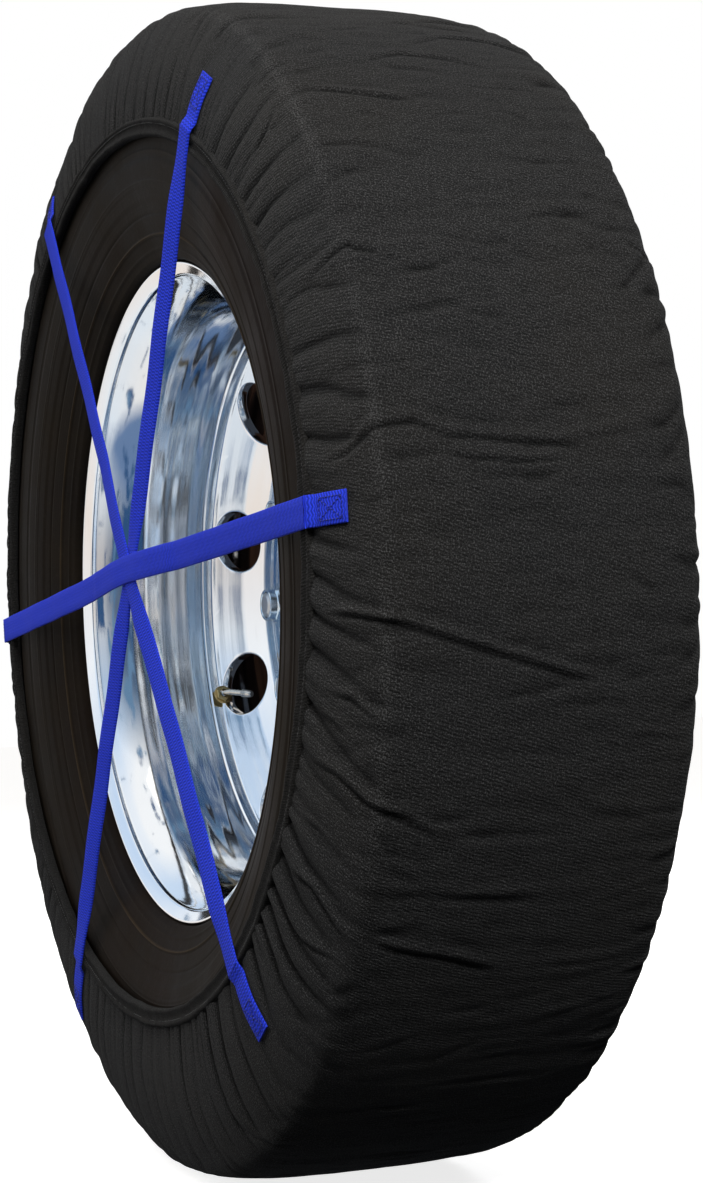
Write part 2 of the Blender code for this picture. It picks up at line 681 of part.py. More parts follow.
def main():
    clear_scene()
    looks = {
        "tyre": material("tyre", (0.028, 0.025, 0.022), 0.75),
        "wheel": material("wheel", (0.86, 0.87, 0.88), 0.12, 1.0),
        "sock": material("sock", (0.018, 0.018, 0.020), 0.95),
        "hem": material("hem", (0.012, 0.012, 0.013), 0.9),
        "webbing": material("webbing", (0.020, 0.030, 0.38), 0.7),
        "bolt_steel": material("bolt_steel", (0.62, 0.66, 0.70), 0.28, 1.0),
        "valve_metal": material("valve_metal", (0.70, 0.68, 0.62), 0.3, 1.0),
        "brass": material("brass", (0.72, 0.52, 0.22), 0.3, 1.0),
        "rubber": material("rubber", (0.02, 0.02, 0.02), 0.7),
        "lead": material("lead", (0.35, 0.36, 0.38), 0.55, 1.0),
        "cast_iron": material("cast_iron", (0.14, 0.075, 0.045), 0.75),
        "hub_paint": material("hub_paint", (0.03, 0.032, 0.035), 0.5),
        "forged_steel": material("forged_steel", (0.20, 0.20, 0.21), 0.5, 1.0),
        "bearing_steel": material("bearing_steel", (0.62, 0.63, 0.65), 0.2, 1.0),
        "cap_metal": material("cap_metal", (0.75, 0.76, 0.78), 0.25, 1.0),
    }
    axes = {}
    for name in ("axle_line", "wheel_spin", "outer_roller_spin", "inner_roller_spin"):
        axes[name] = bpy.data.objects.new(name, None)
        bpy.context.scene.collection.objects.link(axes[name])
    spin, axle = axes["wheel_spin"], axes["axle_line"]
    parents = {
        "hub": spin,
        "spindle": axle,
        "outer": axes["outer_roller_spin"],
        "inner": axes["inner_roller_spin"],
    }

    make_tyre(looks["tyre"], spin)
    make_wheel(looks["wheel"], spin)
    make_balance_weight(looks["lead"], spin)
    make_sock_tread(looks["sock"], spin)
    make_sock_wall("sock_outer_wall", opening_edge, -1, looks["sock"], spin)
    inner_edge = ELASTIC_RING_RADIUS + ELASTIC_RADIUS + GAP
    make_sock_wall("sock_inner_wall", lambda angle: inner_edge, 1, looks["sock"], spin)
    make_outer_hem(looks["hem"], spin)
    make_inner_elastic(looks["hem"], spin)
    for layer, name in enumerate(STRAP_ENDS):
        make_strap(name, layer, looks["webbing"], spin)
    make_wheel_fasteners(looks["bolt_steel"], spin)
    make_valve(looks, spin)
    make_brake_drum(looks["cast_iron"], spin)
    make_hub(looks["hub_paint"], spin)
    make_bearing("outer", OUTER_BEARING, OUTER_CUP_RADIUS, OUTER_SEAT_RADIUS, looks, parents)
    make_bearing("inner", INNER_BEARING, INNER_CUP_RADIUS, INNER_SEAT_RADIUS, looks, parents)
    make_spindle(looks, axle)
    make_hub_ends(looks, spin)


main()
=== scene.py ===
"""The looks of a truck wheel end that wears a textile snow sock.

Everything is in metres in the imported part's frame: the wheel's centre is the origin, the spin axis runs
along Y with the outboard side at -Y, and +Z is up. Angles about the axis run from +X towards +Z.
"""

import math

import bmesh
import bpy
import numpy as np
from mathutils import Matrix, Vector


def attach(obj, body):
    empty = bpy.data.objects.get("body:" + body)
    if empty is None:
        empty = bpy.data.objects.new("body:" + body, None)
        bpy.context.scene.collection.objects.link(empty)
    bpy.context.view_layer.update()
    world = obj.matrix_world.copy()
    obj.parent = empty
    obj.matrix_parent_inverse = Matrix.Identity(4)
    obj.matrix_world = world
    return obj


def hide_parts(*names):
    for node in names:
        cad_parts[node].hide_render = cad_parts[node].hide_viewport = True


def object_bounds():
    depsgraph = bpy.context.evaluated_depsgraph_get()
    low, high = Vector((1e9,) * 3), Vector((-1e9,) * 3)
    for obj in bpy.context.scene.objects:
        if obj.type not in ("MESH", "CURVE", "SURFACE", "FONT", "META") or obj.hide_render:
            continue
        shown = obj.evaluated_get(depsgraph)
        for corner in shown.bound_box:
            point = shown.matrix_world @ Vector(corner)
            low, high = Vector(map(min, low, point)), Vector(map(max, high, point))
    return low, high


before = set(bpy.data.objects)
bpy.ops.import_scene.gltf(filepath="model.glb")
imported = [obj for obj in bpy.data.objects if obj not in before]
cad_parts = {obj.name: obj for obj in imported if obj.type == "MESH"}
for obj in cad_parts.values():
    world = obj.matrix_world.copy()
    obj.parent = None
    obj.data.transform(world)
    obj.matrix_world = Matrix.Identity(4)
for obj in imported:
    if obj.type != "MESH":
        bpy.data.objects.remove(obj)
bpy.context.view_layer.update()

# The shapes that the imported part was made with.
RIM_RADIUS = 0.2985
HAND_HOLES = 10
HAND_HOLE_RADIUS = 0.0302
HAND_HOLE_CIRCLE = 0.232
HAND_HOLE_START = math.radians(165.8)
STUD_CIRCLE = 0.142875
STUD_START = HAND_HOLE_START + math.pi / HAND_HOLES
TYRE_RADIUS = 0.5215
TYRE_SHOULDER_RADIUS = 0.511
TYRE_SHOULDER_Y = 0.120
TYRE_HALF_WIDTH = 0.149
TYRE_WIDEST_RADIUS = 0.405
SOCK_RADIUS = 0.527
SOCK_SHOULDER_RADIUS = 0.5172
SOCK_SHOULDER_Y = 0.124
SOCK_HALF_WIDTH = 0.157
SOCK_TOP_RADIUS = 0.515
SOCK_TOP_Y = 0.126
OPENING_HALF_X = 0.446
OPENING_HALF_Z = 0.402
OPENING_CENTRE_Z = 0.018
ELASTIC_RING_RADIUS = 0.391
STRAP_WIDTH = 0.025
STRAP_THICKNESS = 0.0018
STRAP_CROSSING = (0.013, 0.021)
STRAP_LAYER_STEP = 0.0023
STRAP_STACK_STOPS = (0.16, 0.10, 0.040)
STRAP_LIFT = 0.001
STRAP_OVER_HEM = 0.0042
HEM_CLEAR = 0.004
# Each strap's two ends, as (degrees, radius), and its twist on the way to each.
STRAP_ENDS = {
    "strap_a": ((61.6, 0.478), (240.4, 0.462)),
    "strap_b": ((122.0, 0.466), (309.6, 0.468)),
    "strap_c": ((183.0, 0.470), (5.4, 0.492)),
}
STRAP_TWIST = {"strap_a": (-11.0, -11.0), "strap_b": (0.0, -11.0), "strap_c": (0.0, 3.0)}
VALVE_ANGLE = HAND_HOLE_START + math.tau / HAND_HOLES
VALVE_Y = 0.010


# Meshes.


def polar(radius, angle, y):
    return Vector((radius * math.cos(angle), y, radius * math.sin(angle)))


def circle_angles(count, start=0.0):
    return [start + math.tau * k / count for k in range(count)]


def mm(*rows):
    """Rows of millimetres, as metres."""
    return [tuple(value / 1000 for value in row) for row in rows]


def link_object(name, mesh):
    obj = bpy.data.objects.new(name, mesh)
    bpy.context.scene.collection.objects.link(obj)
    return obj


def dress(name, mesh, look, sharp):
    """An object for a mesh, smooth up to an angle."""
    mesh.shade_smooth()
    mesh.set_sharp_from_angle(angle=math.radians(sharp))
    mesh.materials.append(look)
    return link_object(name, mesh)


def make_object(name, points, faces, look, sharp=40.0, outward=True):
    """A mesh object from points and faces, with faces turned outwards."""
    mesh = bpy.data.meshes.new(name)
    mesh.from_pydata(np.asarray(points, float).reshape(-1, 3).tolist(), [], [list(f) for f in faces])
    if outward:
        bm = bmesh.new()
        bm.from_mesh(mesh)
        bmesh.ops.recalc_face_normals(bm, faces=bm.faces)
        bm.to_mesh(mesh)
        bm.free()
    return dress(name, mesh, look, sharp)


def finish_piece(obj, slot, *nodes):
    """Everything made here rides on the wheel's body."""
    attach(obj, "wheel")
    if nodes:
        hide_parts(*nodes)
    return obj


def place_copies(shape, label, node, slot, places):
    """One linked copy of the shape for each matrix, numbered like the nodes that they replace."""
    for k, place in enumerate(places, 1):
        obj = link_object(f"{label}_{k:02d}", shape.data)
        obj.matrix_world = place
        finish_piece(obj, slot, f"{node}_{k:02d}")
    bpy.data.objects.remove(shape, do_unlink=True)


def ring_faces(rows, columns, closed):
    """Quads of a grid whose columns run all the way round, and its rows too if closed."""
    i = np.arange(rows if closed else rows - 1)[:, None]
    j = np.arange(columns)[None, :]
    after_i, after_j = (i + 1) % rows, (j + 1) % columns
    quads = [i * columns + j, i * columns + after_j, after_i * columns + after_j, after_i * columns + j]
    return np.stack(np.broadcast_arrays(*quads), -1).reshape(-1, 4)


def rounded(outline, radius, closed=True, steps=3):
    """The outline with each corner replaced by a small arc."""
    points = [Vector(p) for p in outline]
    out = []
    for i, p in enumerate(points):
        before, after = points[i - 1] - p, points[(i + 1) % len(points)] - p
        turn = math.pi - before.angle(after)
        if turn < math.radians(10) or not closed and i in (0, len(points) - 1):
            out.append(p)
            continue
        reach = min(radius * math.tan(turn / 2), 0.42 * before.length, 0.42 * after.length)
        a, b = p + before.normalized() * reach, p + after.normalized() * reach
        for k in range(steps + 1):
            t = k / steps
            out.append(a * (1 - t) ** 2 + p * 2 * t * (1 - t) + b * t * t)
    return [tuple(p) for p in out]


def smooth_line(points, per_span=8):
    """A curve through the points, as a dense polyline."""
    p = np.asarray(points, float)
    p = np.vstack([2 * p[0] - p[1], p, 2 * p[-1] - p[-2]])
    t = np.arange(per_span)[:, None] / per_span
    out = []
    for a, b, c, d in zip(p, p[1:], p[2:], p[3:]):
        out.append(0.5 * (2 * b + (c - a) * t + (2 * a - 5 * b + 4 * c - d) * t**2 + (3 * b - a - 3 * c + d) * t**3))
    out.append(p[-2:-1])
    return np.vstack(out)


def turned(name, outline, slot, node=None, segments=96, sharp=40.0):
    """A turned piece from an outline of (radius, y). A radius of 0 at either end is a pole."""
    points, faces, rows = [], [], []
    angles = circle_angles(segments)
    for radius, y in outline:
        first = len(points)
        points += [polar(radius, angle, y) for angle in (angles if radius > 1e-6 else angles[:1])]
        rows.append(range(first, len(points)))
    if len(rows[0]) > 1:
        rows.append(rows[0])
    for a, b in zip(rows, rows[1:]):
        for k in range(segments):
            m = (k + 1) % segments
            if len(a) == 1:
                faces.append((a[0], b[k], b[m]))
            elif len(b) == 1:
                faces.append((a[m], a[k], b[0]))
            else:
                faces.append((a[m], a[k], b[k], b[m]))
    return finish_piece(make_object(name, points, faces, LOOKS[slot], sharp), slot, *([node] if node else []))


# Materials.


class Value:
    """A socket in a node tree. Arithmetic on it adds Math nodes."""

    def __init__(self, graph, socket):
        self.graph, self.socket = graph, socket

    def math(self, operation, other=0.0, **settings):
        return self.graph.value("Math", {0: self, 1: other}, operation=operation, **settings)

    def __add__(self, other):
        return self.math("ADD", other)

    def __sub__(self, other):
        return self.math("SUBTRACT", other)

    def __rsub__(self, other):
        return self.graph.value("Math", {0: other, 1: self}, operation="SUBTRACT")

    def __mul__(self, other):
        return self.math("MULTIPLY", other)

    def __pow__(self, other):
        return self.math("POWER", other)

    def __abs__(self):
        return self.math("ABSOLUTE")

    def sine(self):
        return self.math("SINE")


class Graph:
    """Short calls to add nodes to a node tree."""

    def __init__(self, tree):
        self.tree = tree

    def fill(self, socket, value):
        """Link a value to an input, or set it. A colour may leave out its alpha."""
        if isinstance(value, Value):
            self.tree.links.new(value.socket, socket)
        else:
            socket.default_value = (*value, 1.0) if socket.type == "RGBA" else value

    def node(self, kind, inputs=None, **settings):
        made = self.tree.nodes.new("ShaderNode" + kind)
        for key, value in settings.items():
            setattr(made, key, value)
        for key, value in (inputs or {}).items():
            self.fill(made.inputs[key], value)
        return made

    def value(self, kind, inputs=None, out=0, **settings):
        return Value(self, self.node(kind, inputs, **settings).outputs[out])

    def parts(self, vector):
        return [Value(self, socket) for socket in self.node("SeparateXYZ", {0: vector}).outputs]

    def stretched(self, vector, scale):
        return self.value("VectorMath", {0: vector, 1: scale}, operation="MULTIPLY")

    def noise(self, vector, scale, detail=3.0, rough=0.5, distortion=0.0):
        inputs = {"Vector": vector, "Scale": scale, "Detail": detail, "Roughness": rough}
        return self.value("TexNoise", {**inputs, "Distortion": distortion})

    def span(self, value, low, high, to_low=0.0, to_high=1.0):
        inputs = {"Value": value, "From Min": low, "From Max": high, "To Min": to_low, "To Max": to_high}
        return self.value("MapRange", inputs)

    def mix(self, factor, a, b):
        return self.value("Mix", {0: factor, 6: a, 7: b}, 2, data_type="RGBA")

    def ramp(self, factor, stops):
        made = self.node("ValToRGB", {0: factor})
        while len(made.color_ramp.elements) < len(stops):
            made.color_ramp.elements.new(0.5)
        for element, (at, color) in zip(made.color_ramp.elements, stops):
            element.position = at
            element.color = (*color, 1.0)
        return Value(self, made.outputs[0])


class Look(Graph):
    """A Principled material."""

    def __init__(self, name, color, roughness, **inputs):
        self.material = bpy.data.materials.new(name)
        self.material.use_nodes = True
        super().__init__(self.material.node_tree)
        self.shader = self.tree.nodes["Principled BSDF"]
        self.set(Base_Color=color, Roughness=roughness, **inputs)

    def set(self, **inputs):
        """Fill the shader's inputs. Returns the material."""
        for key, value in inputs.items():
            self.fill(self.shader.inputs[key.replace("_", " ")], value)
        return self.material

    def place(self):
        return self.value("TexCoord", out="Object")

    def weave_place(self):
        return self.value("UVMap", uv_map="weave")

    def bump(self, height, distance, strength=1.0, under=None):
        inputs = {"Height": height, "Distance": distance, "Strength": strength}
        return self.value("Bump", {**inputs, "Normal": under} if under else inputs)

    def axis_distance(self):
        """The distance from the spin axis, and the place along it."""
        x, y, z = self.parts(self.place())
        return (x**2.0 + z**2.0).math("SQRT"), y


def scaled(color, share, lift=0.0):
    return tuple(min(1.0, share * c + lift) for c in color)


def cloth_look(name, dark, light, warm, speck=1.0):
    """A black fuzzy knit: ribs along the axis, pale fibre specks, more of them on the shoulder fold, and painted shade
    that darkens the base colour in the crease valleys.
    """
    look = Look(name, dark, 0.92, Sheen_Weight=0.07, Sheen_Roughness=0.5, Sheen_Tint=(0.72, 0.72, 0.72),
                Specular_IOR_Level=0.03)
    place, weave = look.place(), look.weave_place()
    u, v, _ = look.parts(weave)
    wobble = look.noise(weave, 90.0, 3.0, 0.6) * 9.0
    ribs = ((u + v * 0.35) * (math.tau / 0.0031) + wobble).sine()
    streaks = look.noise(look.stretched(weave, (1.0, 0.16, 1.0)), 390.0, 3.0, 0.6)
    grain = look.noise(weave, 820.0, 3.0, 0.7)
    fuzz = look.noise(place, 330.0, 4.0, 0.75)
    near_fold = look.span(abs(v + -0.001), 0.0015, 0.008, 1.0, 0.0)
    fold = near_fold * look.span(look.noise(place, 9.0, 2.0), 0.42, 0.62)
    specks = look.noise(weave, 760.0, 2.0, 0.6) - (0.535 - fold * 0.045)
    specks = specks.math("MULTIPLY", 11.0, use_clamp=True)
    patches = look.span(look.noise(place, 5.0, 3.0, 0.6), 0.45, 0.72)
    tone = ribs * 0.06 + (streaks * 0.55 + grain * 0.75)
    base = look.mix(look.span(tone, 0.42, 0.90), dark, light)
    base = look.mix(patches * 0.4, base, warm)
    base = look.mix(specks * (0.6 * speck), base, scaled(light, 3.6))
    # painted shade: the base colour darkens where the cloth lies below its local mean, in the crease valleys
    painted_crease_shade = look.value("Attribute", out="Fac", attribute_name="painted_crease_shade")
    return look.set(
        Base_Color=look.mix(painted_crease_shade * 0.72, base, scaled(dark, 0.35)),
        Normal=look.bump(ribs * 0.16 + streaks * 1.3 + grain * 0.9 + fuzz * 0.5, 0.0011, 0.85),
        Roughness=look.span(grain, 0.3, 0.7, 0.85, 1.0),
    )


def webbing_look(name, color):
    """Woven webbing: chevron ribs across it and fine cords along it."""
    look = Look(name, color, 0.78, Sheen_Weight=0.04, Sheen_Roughness=0.4, Specular_IOR_Level=0.15)
    weave = look.weave_place()
    across, along, _ = look.parts(weave)
    bend = abs((across * 160.0).math("FRACT") - 0.5) * 0.0030
    ribs = ((along + bend) * (math.tau / 0.0030)).sine()
    cords = (across * (math.tau / 0.0031)).sine()
    grain = look.noise(weave, 900.0, 2.0, 0.6)
    return look.set(
        Base_Color=look.mix(look.span(ribs * 0.32 + grain, 0.2, 0.85), scaled(color, 0.55), scaled(color, 1.3, 0.004)),
        Normal=look.bump(ribs * 0.6 + cords * 0.12 + grain, 0.0003, 0.8),
    )


def thread_look(name, color):
    look = Look(name, color, 0.6, Sheen_Weight=0.2)
    twist = (look.noise(look.place(), 700.0, 2.0) * 30.0).sine()
    base = look.mix(look.span(twist, -1.0, 1.0), scaled(color, 0.6), color)
    return look.set(Base_Color=base, Normal=look.bump(twist, 0.0002, 0.6))


def tyre_look():
    """Brown-black rubber with road dust, a tan rubbed ring near the rim, faint turned lines and scuffs."""
    look = Look("tyre_rubber", (0.016, 0.013, 0.010), 0.7, Specular_IOR_Level=0.04)
    place = look.place()
    radius, _ = look.axis_distance()
    dust = look.span(look.noise(place, 7.0, 6.0, 0.62), 0.38, 0.72)
    stains = look.span(look.noise(place, 2.6, 4.0, 0.6, 0.6), 0.45, 0.65)
    fine = look.noise(place, 190.0, 5.0, 0.7)
    base = look.mix(dust * 0.8, (0.0066, 0.0052, 0.0040), (0.0225, 0.0172, 0.0118))
    base = look.mix(stains * 0.6, base, (0.0130, 0.0072, 0.0050))
    base = look.mix(look.span(fine, 0.52, 0.8) * 0.3, base, (0.034, 0.028, 0.021))
    for at, width, tone, share in (
        (0.3225, 0.0016, (0.085, 0.060, 0.036), 0.75),
        (0.3690, 0.0010, (0.034, 0.028, 0.021), 0.4),
    ):
        ring = look.span(abs(radius - at), 0.0, width, 1.0, 0.0) * look.span(dust, 0.0, 1.0, 0.35, 1.0)
        base = look.mix(ring * share, base, tone)
    lines = (radius * (math.tau / 0.0034)).sine()
    scuffs = look.bump(look.noise(place, 34.0), 0.0012, 0.35)
    return look.set(
        Base_Color=base,
        Roughness=look.span(dust, 0.0, 1.0, 0.55, 0.8),
        Normal=look.bump(lines * 0.07 + fine, 0.0005, 0.5, scuffs),
    )


def polished_look(name, color, low, high, smudge=0.5, wave=0.0):
    """Turned and polished metal: hairlines round the axis, a haze of smudges, slow waves in the surface."""
    look = Look(name, color, low, Metallic=1.0)
    place = look.place()
    radius, depth = look.axis_distance()
    along = radius + depth * 0.9
    wander = look.noise(place, 3.0, 2.0) * 0.002
    hairs = look.noise(look.value("CombineXYZ", {0: along + wander}), 900.0, 4.0, 0.75)
    haze = look.span(look.noise(place, 9.0, 5.0, 0.6, 0.4), 0.35, 0.75)
    sway = look.noise(place, 6.0) * 4.0
    waves = (along * (math.tau / 0.0125) + sway).sine() * 0.4 + (along * (math.tau / 0.0310) + sway).sine()
    swirl = look.bump(waves, wave, 1.0, look.bump(look.noise(place, 16.0), 0.0010, 0.22))
    return look.set(
        Base_Color=look.mix(haze * 0.6, color, scaled(color, 0.93)),
        Roughness=look.span(haze * smudge + hairs * 0.5, 0.0, 1.0, low, high),
        Normal=look.bump(hairs, 0.00006, 0.5, swirl),
    )


def steel_look(name, color, low, high, scale=60.0, spots=None):
    """Plain metal with small tone and roughness changes, and a second colour in spots."""
    look = Look(name, color, low, Metallic=1.0)
    place = look.place()
    broad = look.noise(place, scale * 0.3, 5.0, 0.6)
    fine = look.noise(place, scale * 9.0, 3.0, 0.6)
    base = look.mix(look.span(broad, 0.35, 0.7), scaled(color, 0.78), color)
    if spots:
        base = look.mix(look.span(look.noise(place, scale, 6.0, 0.7), 0.56, 0.68), base, spots)
    rough = look.span(broad + fine * 0.4, 0.4, 0.95, low, high)
    return look.set(Base_Color=base, Roughness=rough, Normal=look.bump(fine, 0.0002, 0.5))


def cast_look(name, color, second, roughness, scale=40.0, share=(0.42, 0.66), metal=0.0):
    """A cast or moulded surface: grainy, in two blended colours."""
    look = Look(name, color, roughness, Metallic=metal)
    place = look.place()
    blotch = look.noise(place, scale, 7.0, 0.68, 0.3)
    grain = look.noise(place, scale * 14.0, 3.0, 0.6)
    return look.set(
        Base_Color=look.mix(look.span(blotch, *share), color, second),
        Roughness=look.span(blotch, 0.3, 0.7, roughness * 0.85, min(1.0, roughness * 1.15)),
        Normal=look.bump(blotch + grain * 0.5, 0.0008, 0.55),
    )


LOOKS = {
    "sock": cloth_look("sock_cloth", (0.0072, 0.0072, 0.0074), (0.0335, 0.0335, 0.0338), (0.0265, 0.0240, 0.0205)),
    "hem": cloth_look("hem_binding", (0.0085, 0.0084, 0.0083), (0.022, 0.0215, 0.021), (0.024, 0.021, 0.018), 0.5),
    "webbing": webbing_look("blue_webbing", (0.026, 0.056, 0.76)),
    "blue_thread": thread_look("blue_thread", (0.014, 0.028, 0.36)),
    "black_thread": thread_look("black_thread", (0.035, 0.033, 0.031)),
    "tyre": tyre_look(),
    "wheel": polished_look("polished_aluminium", (0.89, 0.915, 0.94), 0.03, 0.13, wave=0.00024),
    "nut": polished_look("plated_nut", (0.62, 0.72, 0.80), 0.10, 0.28, smudge=0.8),
    "bolt_steel": steel_look("zinc_steel", (0.60, 0.63, 0.66), 0.22, 0.45),
    "valve_metal": steel_look("nickel_valve", (0.72, 0.70, 0.64), 0.18, 0.38),
    "brass": steel_look("brass_nut", (0.74, 0.54, 0.24), 0.2, 0.42, spots=(0.34, 0.22, 0.10)),
    "rubber": cast_look("black_rubber", (0.014, 0.014, 0.014), (0.026, 0.025, 0.024), 0.7),
    "lead": cast_look("weight_grey", (0.30, 0.31, 0.33), (0.20, 0.20, 0.21), 0.5, metal=0.9),
    "cast_iron": cast_look("rusty_iron", (0.075, 0.032, 0.016), (0.034, 0.021, 0.015), 0.82, 26.0),
    "hub_paint": cast_look("hub_paint", (0.020, 0.021, 0.023), (0.045, 0.038, 0.032), 0.42, 18.0, (0.5, 0.74)),
    "forged_steel": steel_look("forged_steel", (0.17, 0.165, 0.16), 0.38, 0.62, spots=(0.09, 0.055, 0.035)),
    "bearing_steel": steel_look("bearing_steel", (0.66, 0.67, 0.69), 0.12, 0.26),
    "cap_metal": steel_look("cast_cap", (0.74, 0.76, 0.79), 0.2, 0.38, 30.0),
}


# The wheel.

FRONT = smooth_line(
    mm((110, 42.5), (140, 42.5), (166, 42.5), (184, 42.1), (194, 40.4), (203, 37), (217, 31), (232, 24.5), (247, 17.8),
       (256, 13.7), (264, 10))
)
BACK = smooth_line(
    mm((110, 64.5), (150, 64.5), (178, 64), (192, 58), (206, 51), (220, 43.8), (236, 35.5), (252, 27), (264, 20.7))
)
BAND_COLUMNS = 28
BAND_ROWS = 12
STUD_BAND = (0.124, 0.163)
HAND_BAND = (0.1965, 0.2640)
SEAT_TAPER = math.tan(math.radians(15))


def disc_height(curve, radius):
    return np.interp(radius, curve[:, 0], curve[:, 1])


def band_edge(band, start):
    """Points round one sector of a band, in its plane, with the same spacing as the rings beside it."""
    half = math.pi / HAND_HOLES
    turn = np.linspace(-half, half, BAND_COLUMNS + 1)
    side = np.linspace(0.0, 1.0, BAND_ROWS + 1)[:-1]
    low, high = band
    legs = [
        (np.full(BAND_COLUMNS, high), turn[:-1]),
        (high + (low - high) * side, np.full(BAND_ROWS, half)),
        (np.full(BAND_COLUMNS, low), turn[::-1][:-1]),
        (low + (high - low) * side, np.full(BAND_ROWS, -half)),
    ]
    radius = np.concatenate([leg[0] for leg in legs])
    angle = np.concatenate([leg[1] for leg in legs]) + start
    return np.stack([radius * np.cos(angle), radius * np.sin(angle)], -1)


def skin(bm, rings):
    """Quads between closed rings of points."""
    grid = [[bm.verts.new(point) for point in ring] for ring in rings]
    for a, b in zip(grid, grid[1:]):
        for i in range(len(a)):
            m = (i + 1) % len(a)
            bm.faces.new((a[i], a[m], b[m], b[i]))


def holed_band(bm, band, circle, hole, start, fillet):
    """Ten sectors of the disc's front and back, each with a round hole, and the holes' walls."""
    for angle in circle_angles(HAND_HOLES, start):
        centre = circle * np.array([math.cos(angle), math.sin(angle)])
        away = band_edge(band, angle) - centre
        length = np.linalg.norm(away, axis=1, keepdims=True)
        way = away / length
        sheets = []
        for curve, inward in ((FRONT, 1.0), (BACK, -1.0)):
            sheet = []
            for t in np.linspace(1.0, 0.0, 9):
                flat = centre + way * (hole + fillet + (length - hole - fillet) * t**1.5)
                sheet.append((flat, disc_height(curve, np.linalg.norm(flat, axis=1))))
            lip = sheet[-1][1]
            for a in (math.pi / 6, math.pi / 3, math.pi / 2):
                flat = centre + way * (hole + fillet * (1 - math.sin(a)))
                sheet.append((flat, lip + inward * fillet * (1 - math.cos(a))))
            sheets.append(sheet)
        rows = sheets[0] + sheets[1][::-1]
        skin(bm, [[(p[0], y, p[1]) for p, y in zip(flat, height)] for flat, height in rows])


def revolve(bm, outline):
    """A strip of the wheel turned on the same columns as the holed bands."""
    angles = circle_angles(BAND_COLUMNS * HAND_HOLES, HAND_HOLE_START - math.pi / HAND_HOLES)
    skin(bm, [[polar(radius, angle, y) for angle in angles] for radius, y in outline])


def curve_between(curve, low, high):
    inside = curve[(curve[:, 0] > low + 1e-4) & (curve[:, 0] < high - 1e-4)]
    return [(low, disc_height(curve, low)), *map(tuple, inside), (high, disc_height(curve, high))]


def make_wheel():
    """One forging: bowl-shaped disc with hand holes and stud holes, barrel, two rim flanges, polished."""
    outboard = smooth_line(
        mm((265.1, -14.6), (265, -22), (265, -30), (265, -46), (265.6, -54), (267.4, -66), (270, -78), (274, -88.5),
           (279.2, -97.5), (284.6, -104.8)), 4
    )
    seat_end = 105 - (285.8 - 271.5) / SEAT_TAPER
    lip = rounded(
        mm((284.6, -104.8), (286.2, -106.8), (286.6, -110.6), (288, -111.9), (296, -117), (297.6, -117.6),
           (298.7, -116.3), (298.5, -111.8), (285.8, -105), (271.5, -seat_end), (271.5, 0), (271.5, seat_end),
           (285.8, 105), (298.5, 111.8), (298.7, 116.3), (297.6, 117.6), (296, 117), (286, 108)),
        0.0012, closed=False, steps=2,
    )
    inboard = smooth_line(
        mm((286, 108), (281.2, 103), (276.5, 97.5), (272, 88), (269, 78), (266, 64), (265, 52), (265, 36), (265, 22.5),
           (264.7, 21.2), (264, 20.7)), 3
    )
    corner = mm((264, 10), (264.5, 9.6), (264.9, 8.8), (265.1, 7.6), (265.1, 4), (265.1, 0.5), (265.9, -0.3),
                (266.4, -1.4), (265.9, -2.5), (265.1, -3.3), (265.1, -9))
    bore = mm((110, 44.3), (110, 54), (110, 62.7), (110.6, 64), (111.6, 64.5))
    bm = bmesh.new()
    revolve(bm, corner + list(map(tuple, outboard[:-1])) + lip[:-1] + list(map(tuple, inboard)))
    revolve(bm, curve_between(FRONT, 0.1116, STUD_BAND[0])[::-1] + mm((110.8, 42.8), (110.2, 43.4), (110, 44.3)))
    revolve(bm, bore + curve_between(BACK, 0.1116, STUD_BAND[0])[1:])
    for curve in (FRONT, BACK):
        revolve(bm, curve_between(curve, STUD_BAND[1], HAND_BAND[0]))
    holed_band(bm, STUD_BAND, STUD_CIRCLE, 0.0130, STUD_START, 0.0006)
    holed_band(bm, HAND_BAND, HAND_HOLE_CIRCLE, HAND_HOLE_RADIUS, HAND_HOLE_START, 0.0014)
    bmesh.ops.remove_doubles(bm, verts=bm.verts, dist=2e-6)
    bmesh.ops.recalc_face_normals(bm, faces=bm.faces)
    mesh = bpy.data.meshes.new("polished_wheel")
    bm.to_mesh(mesh)
    bm.free()
    finish_piece(dress("polished_wheel", mesh, LOOKS["wheel"], 38), "wheel", "wheel")


def hexagon(angle, flat):
    """How far a hexagon's outline is from its centre at an angle, where its flats are this far."""
    sixth = math.pi / 3
    return flat / math.cos((angle + sixth / 2) % sixth - sixth / 2)


def nut_outline(angle):
    """The lug nut's outline at one angle: a captive flange, a hexagon with chamfered corners, a collar."""
    corner, chamfer = hexagon(angle, 16.5), 17.2
    drop = max(0.0, corner - chamfer) * 0.6
    return mm(
        (12.9, 42.1), (23.6, 42.1), (24, 41.7), (24, 39.2), (23.6, 38.8), (20.4, 38.4), (19.6, 38), (corner, 37.2),
        (corner, 31 + drop), (min(corner, chamfer), 30.4), (16.2, 30), (15.6, 29.4), (15.5, 23.2), (14.9, 22.4),
        (14.1, 22.2), (13.3, 22.3), (12.5, 23.1), (12.4, 30), (12.4, 41.5),
    )


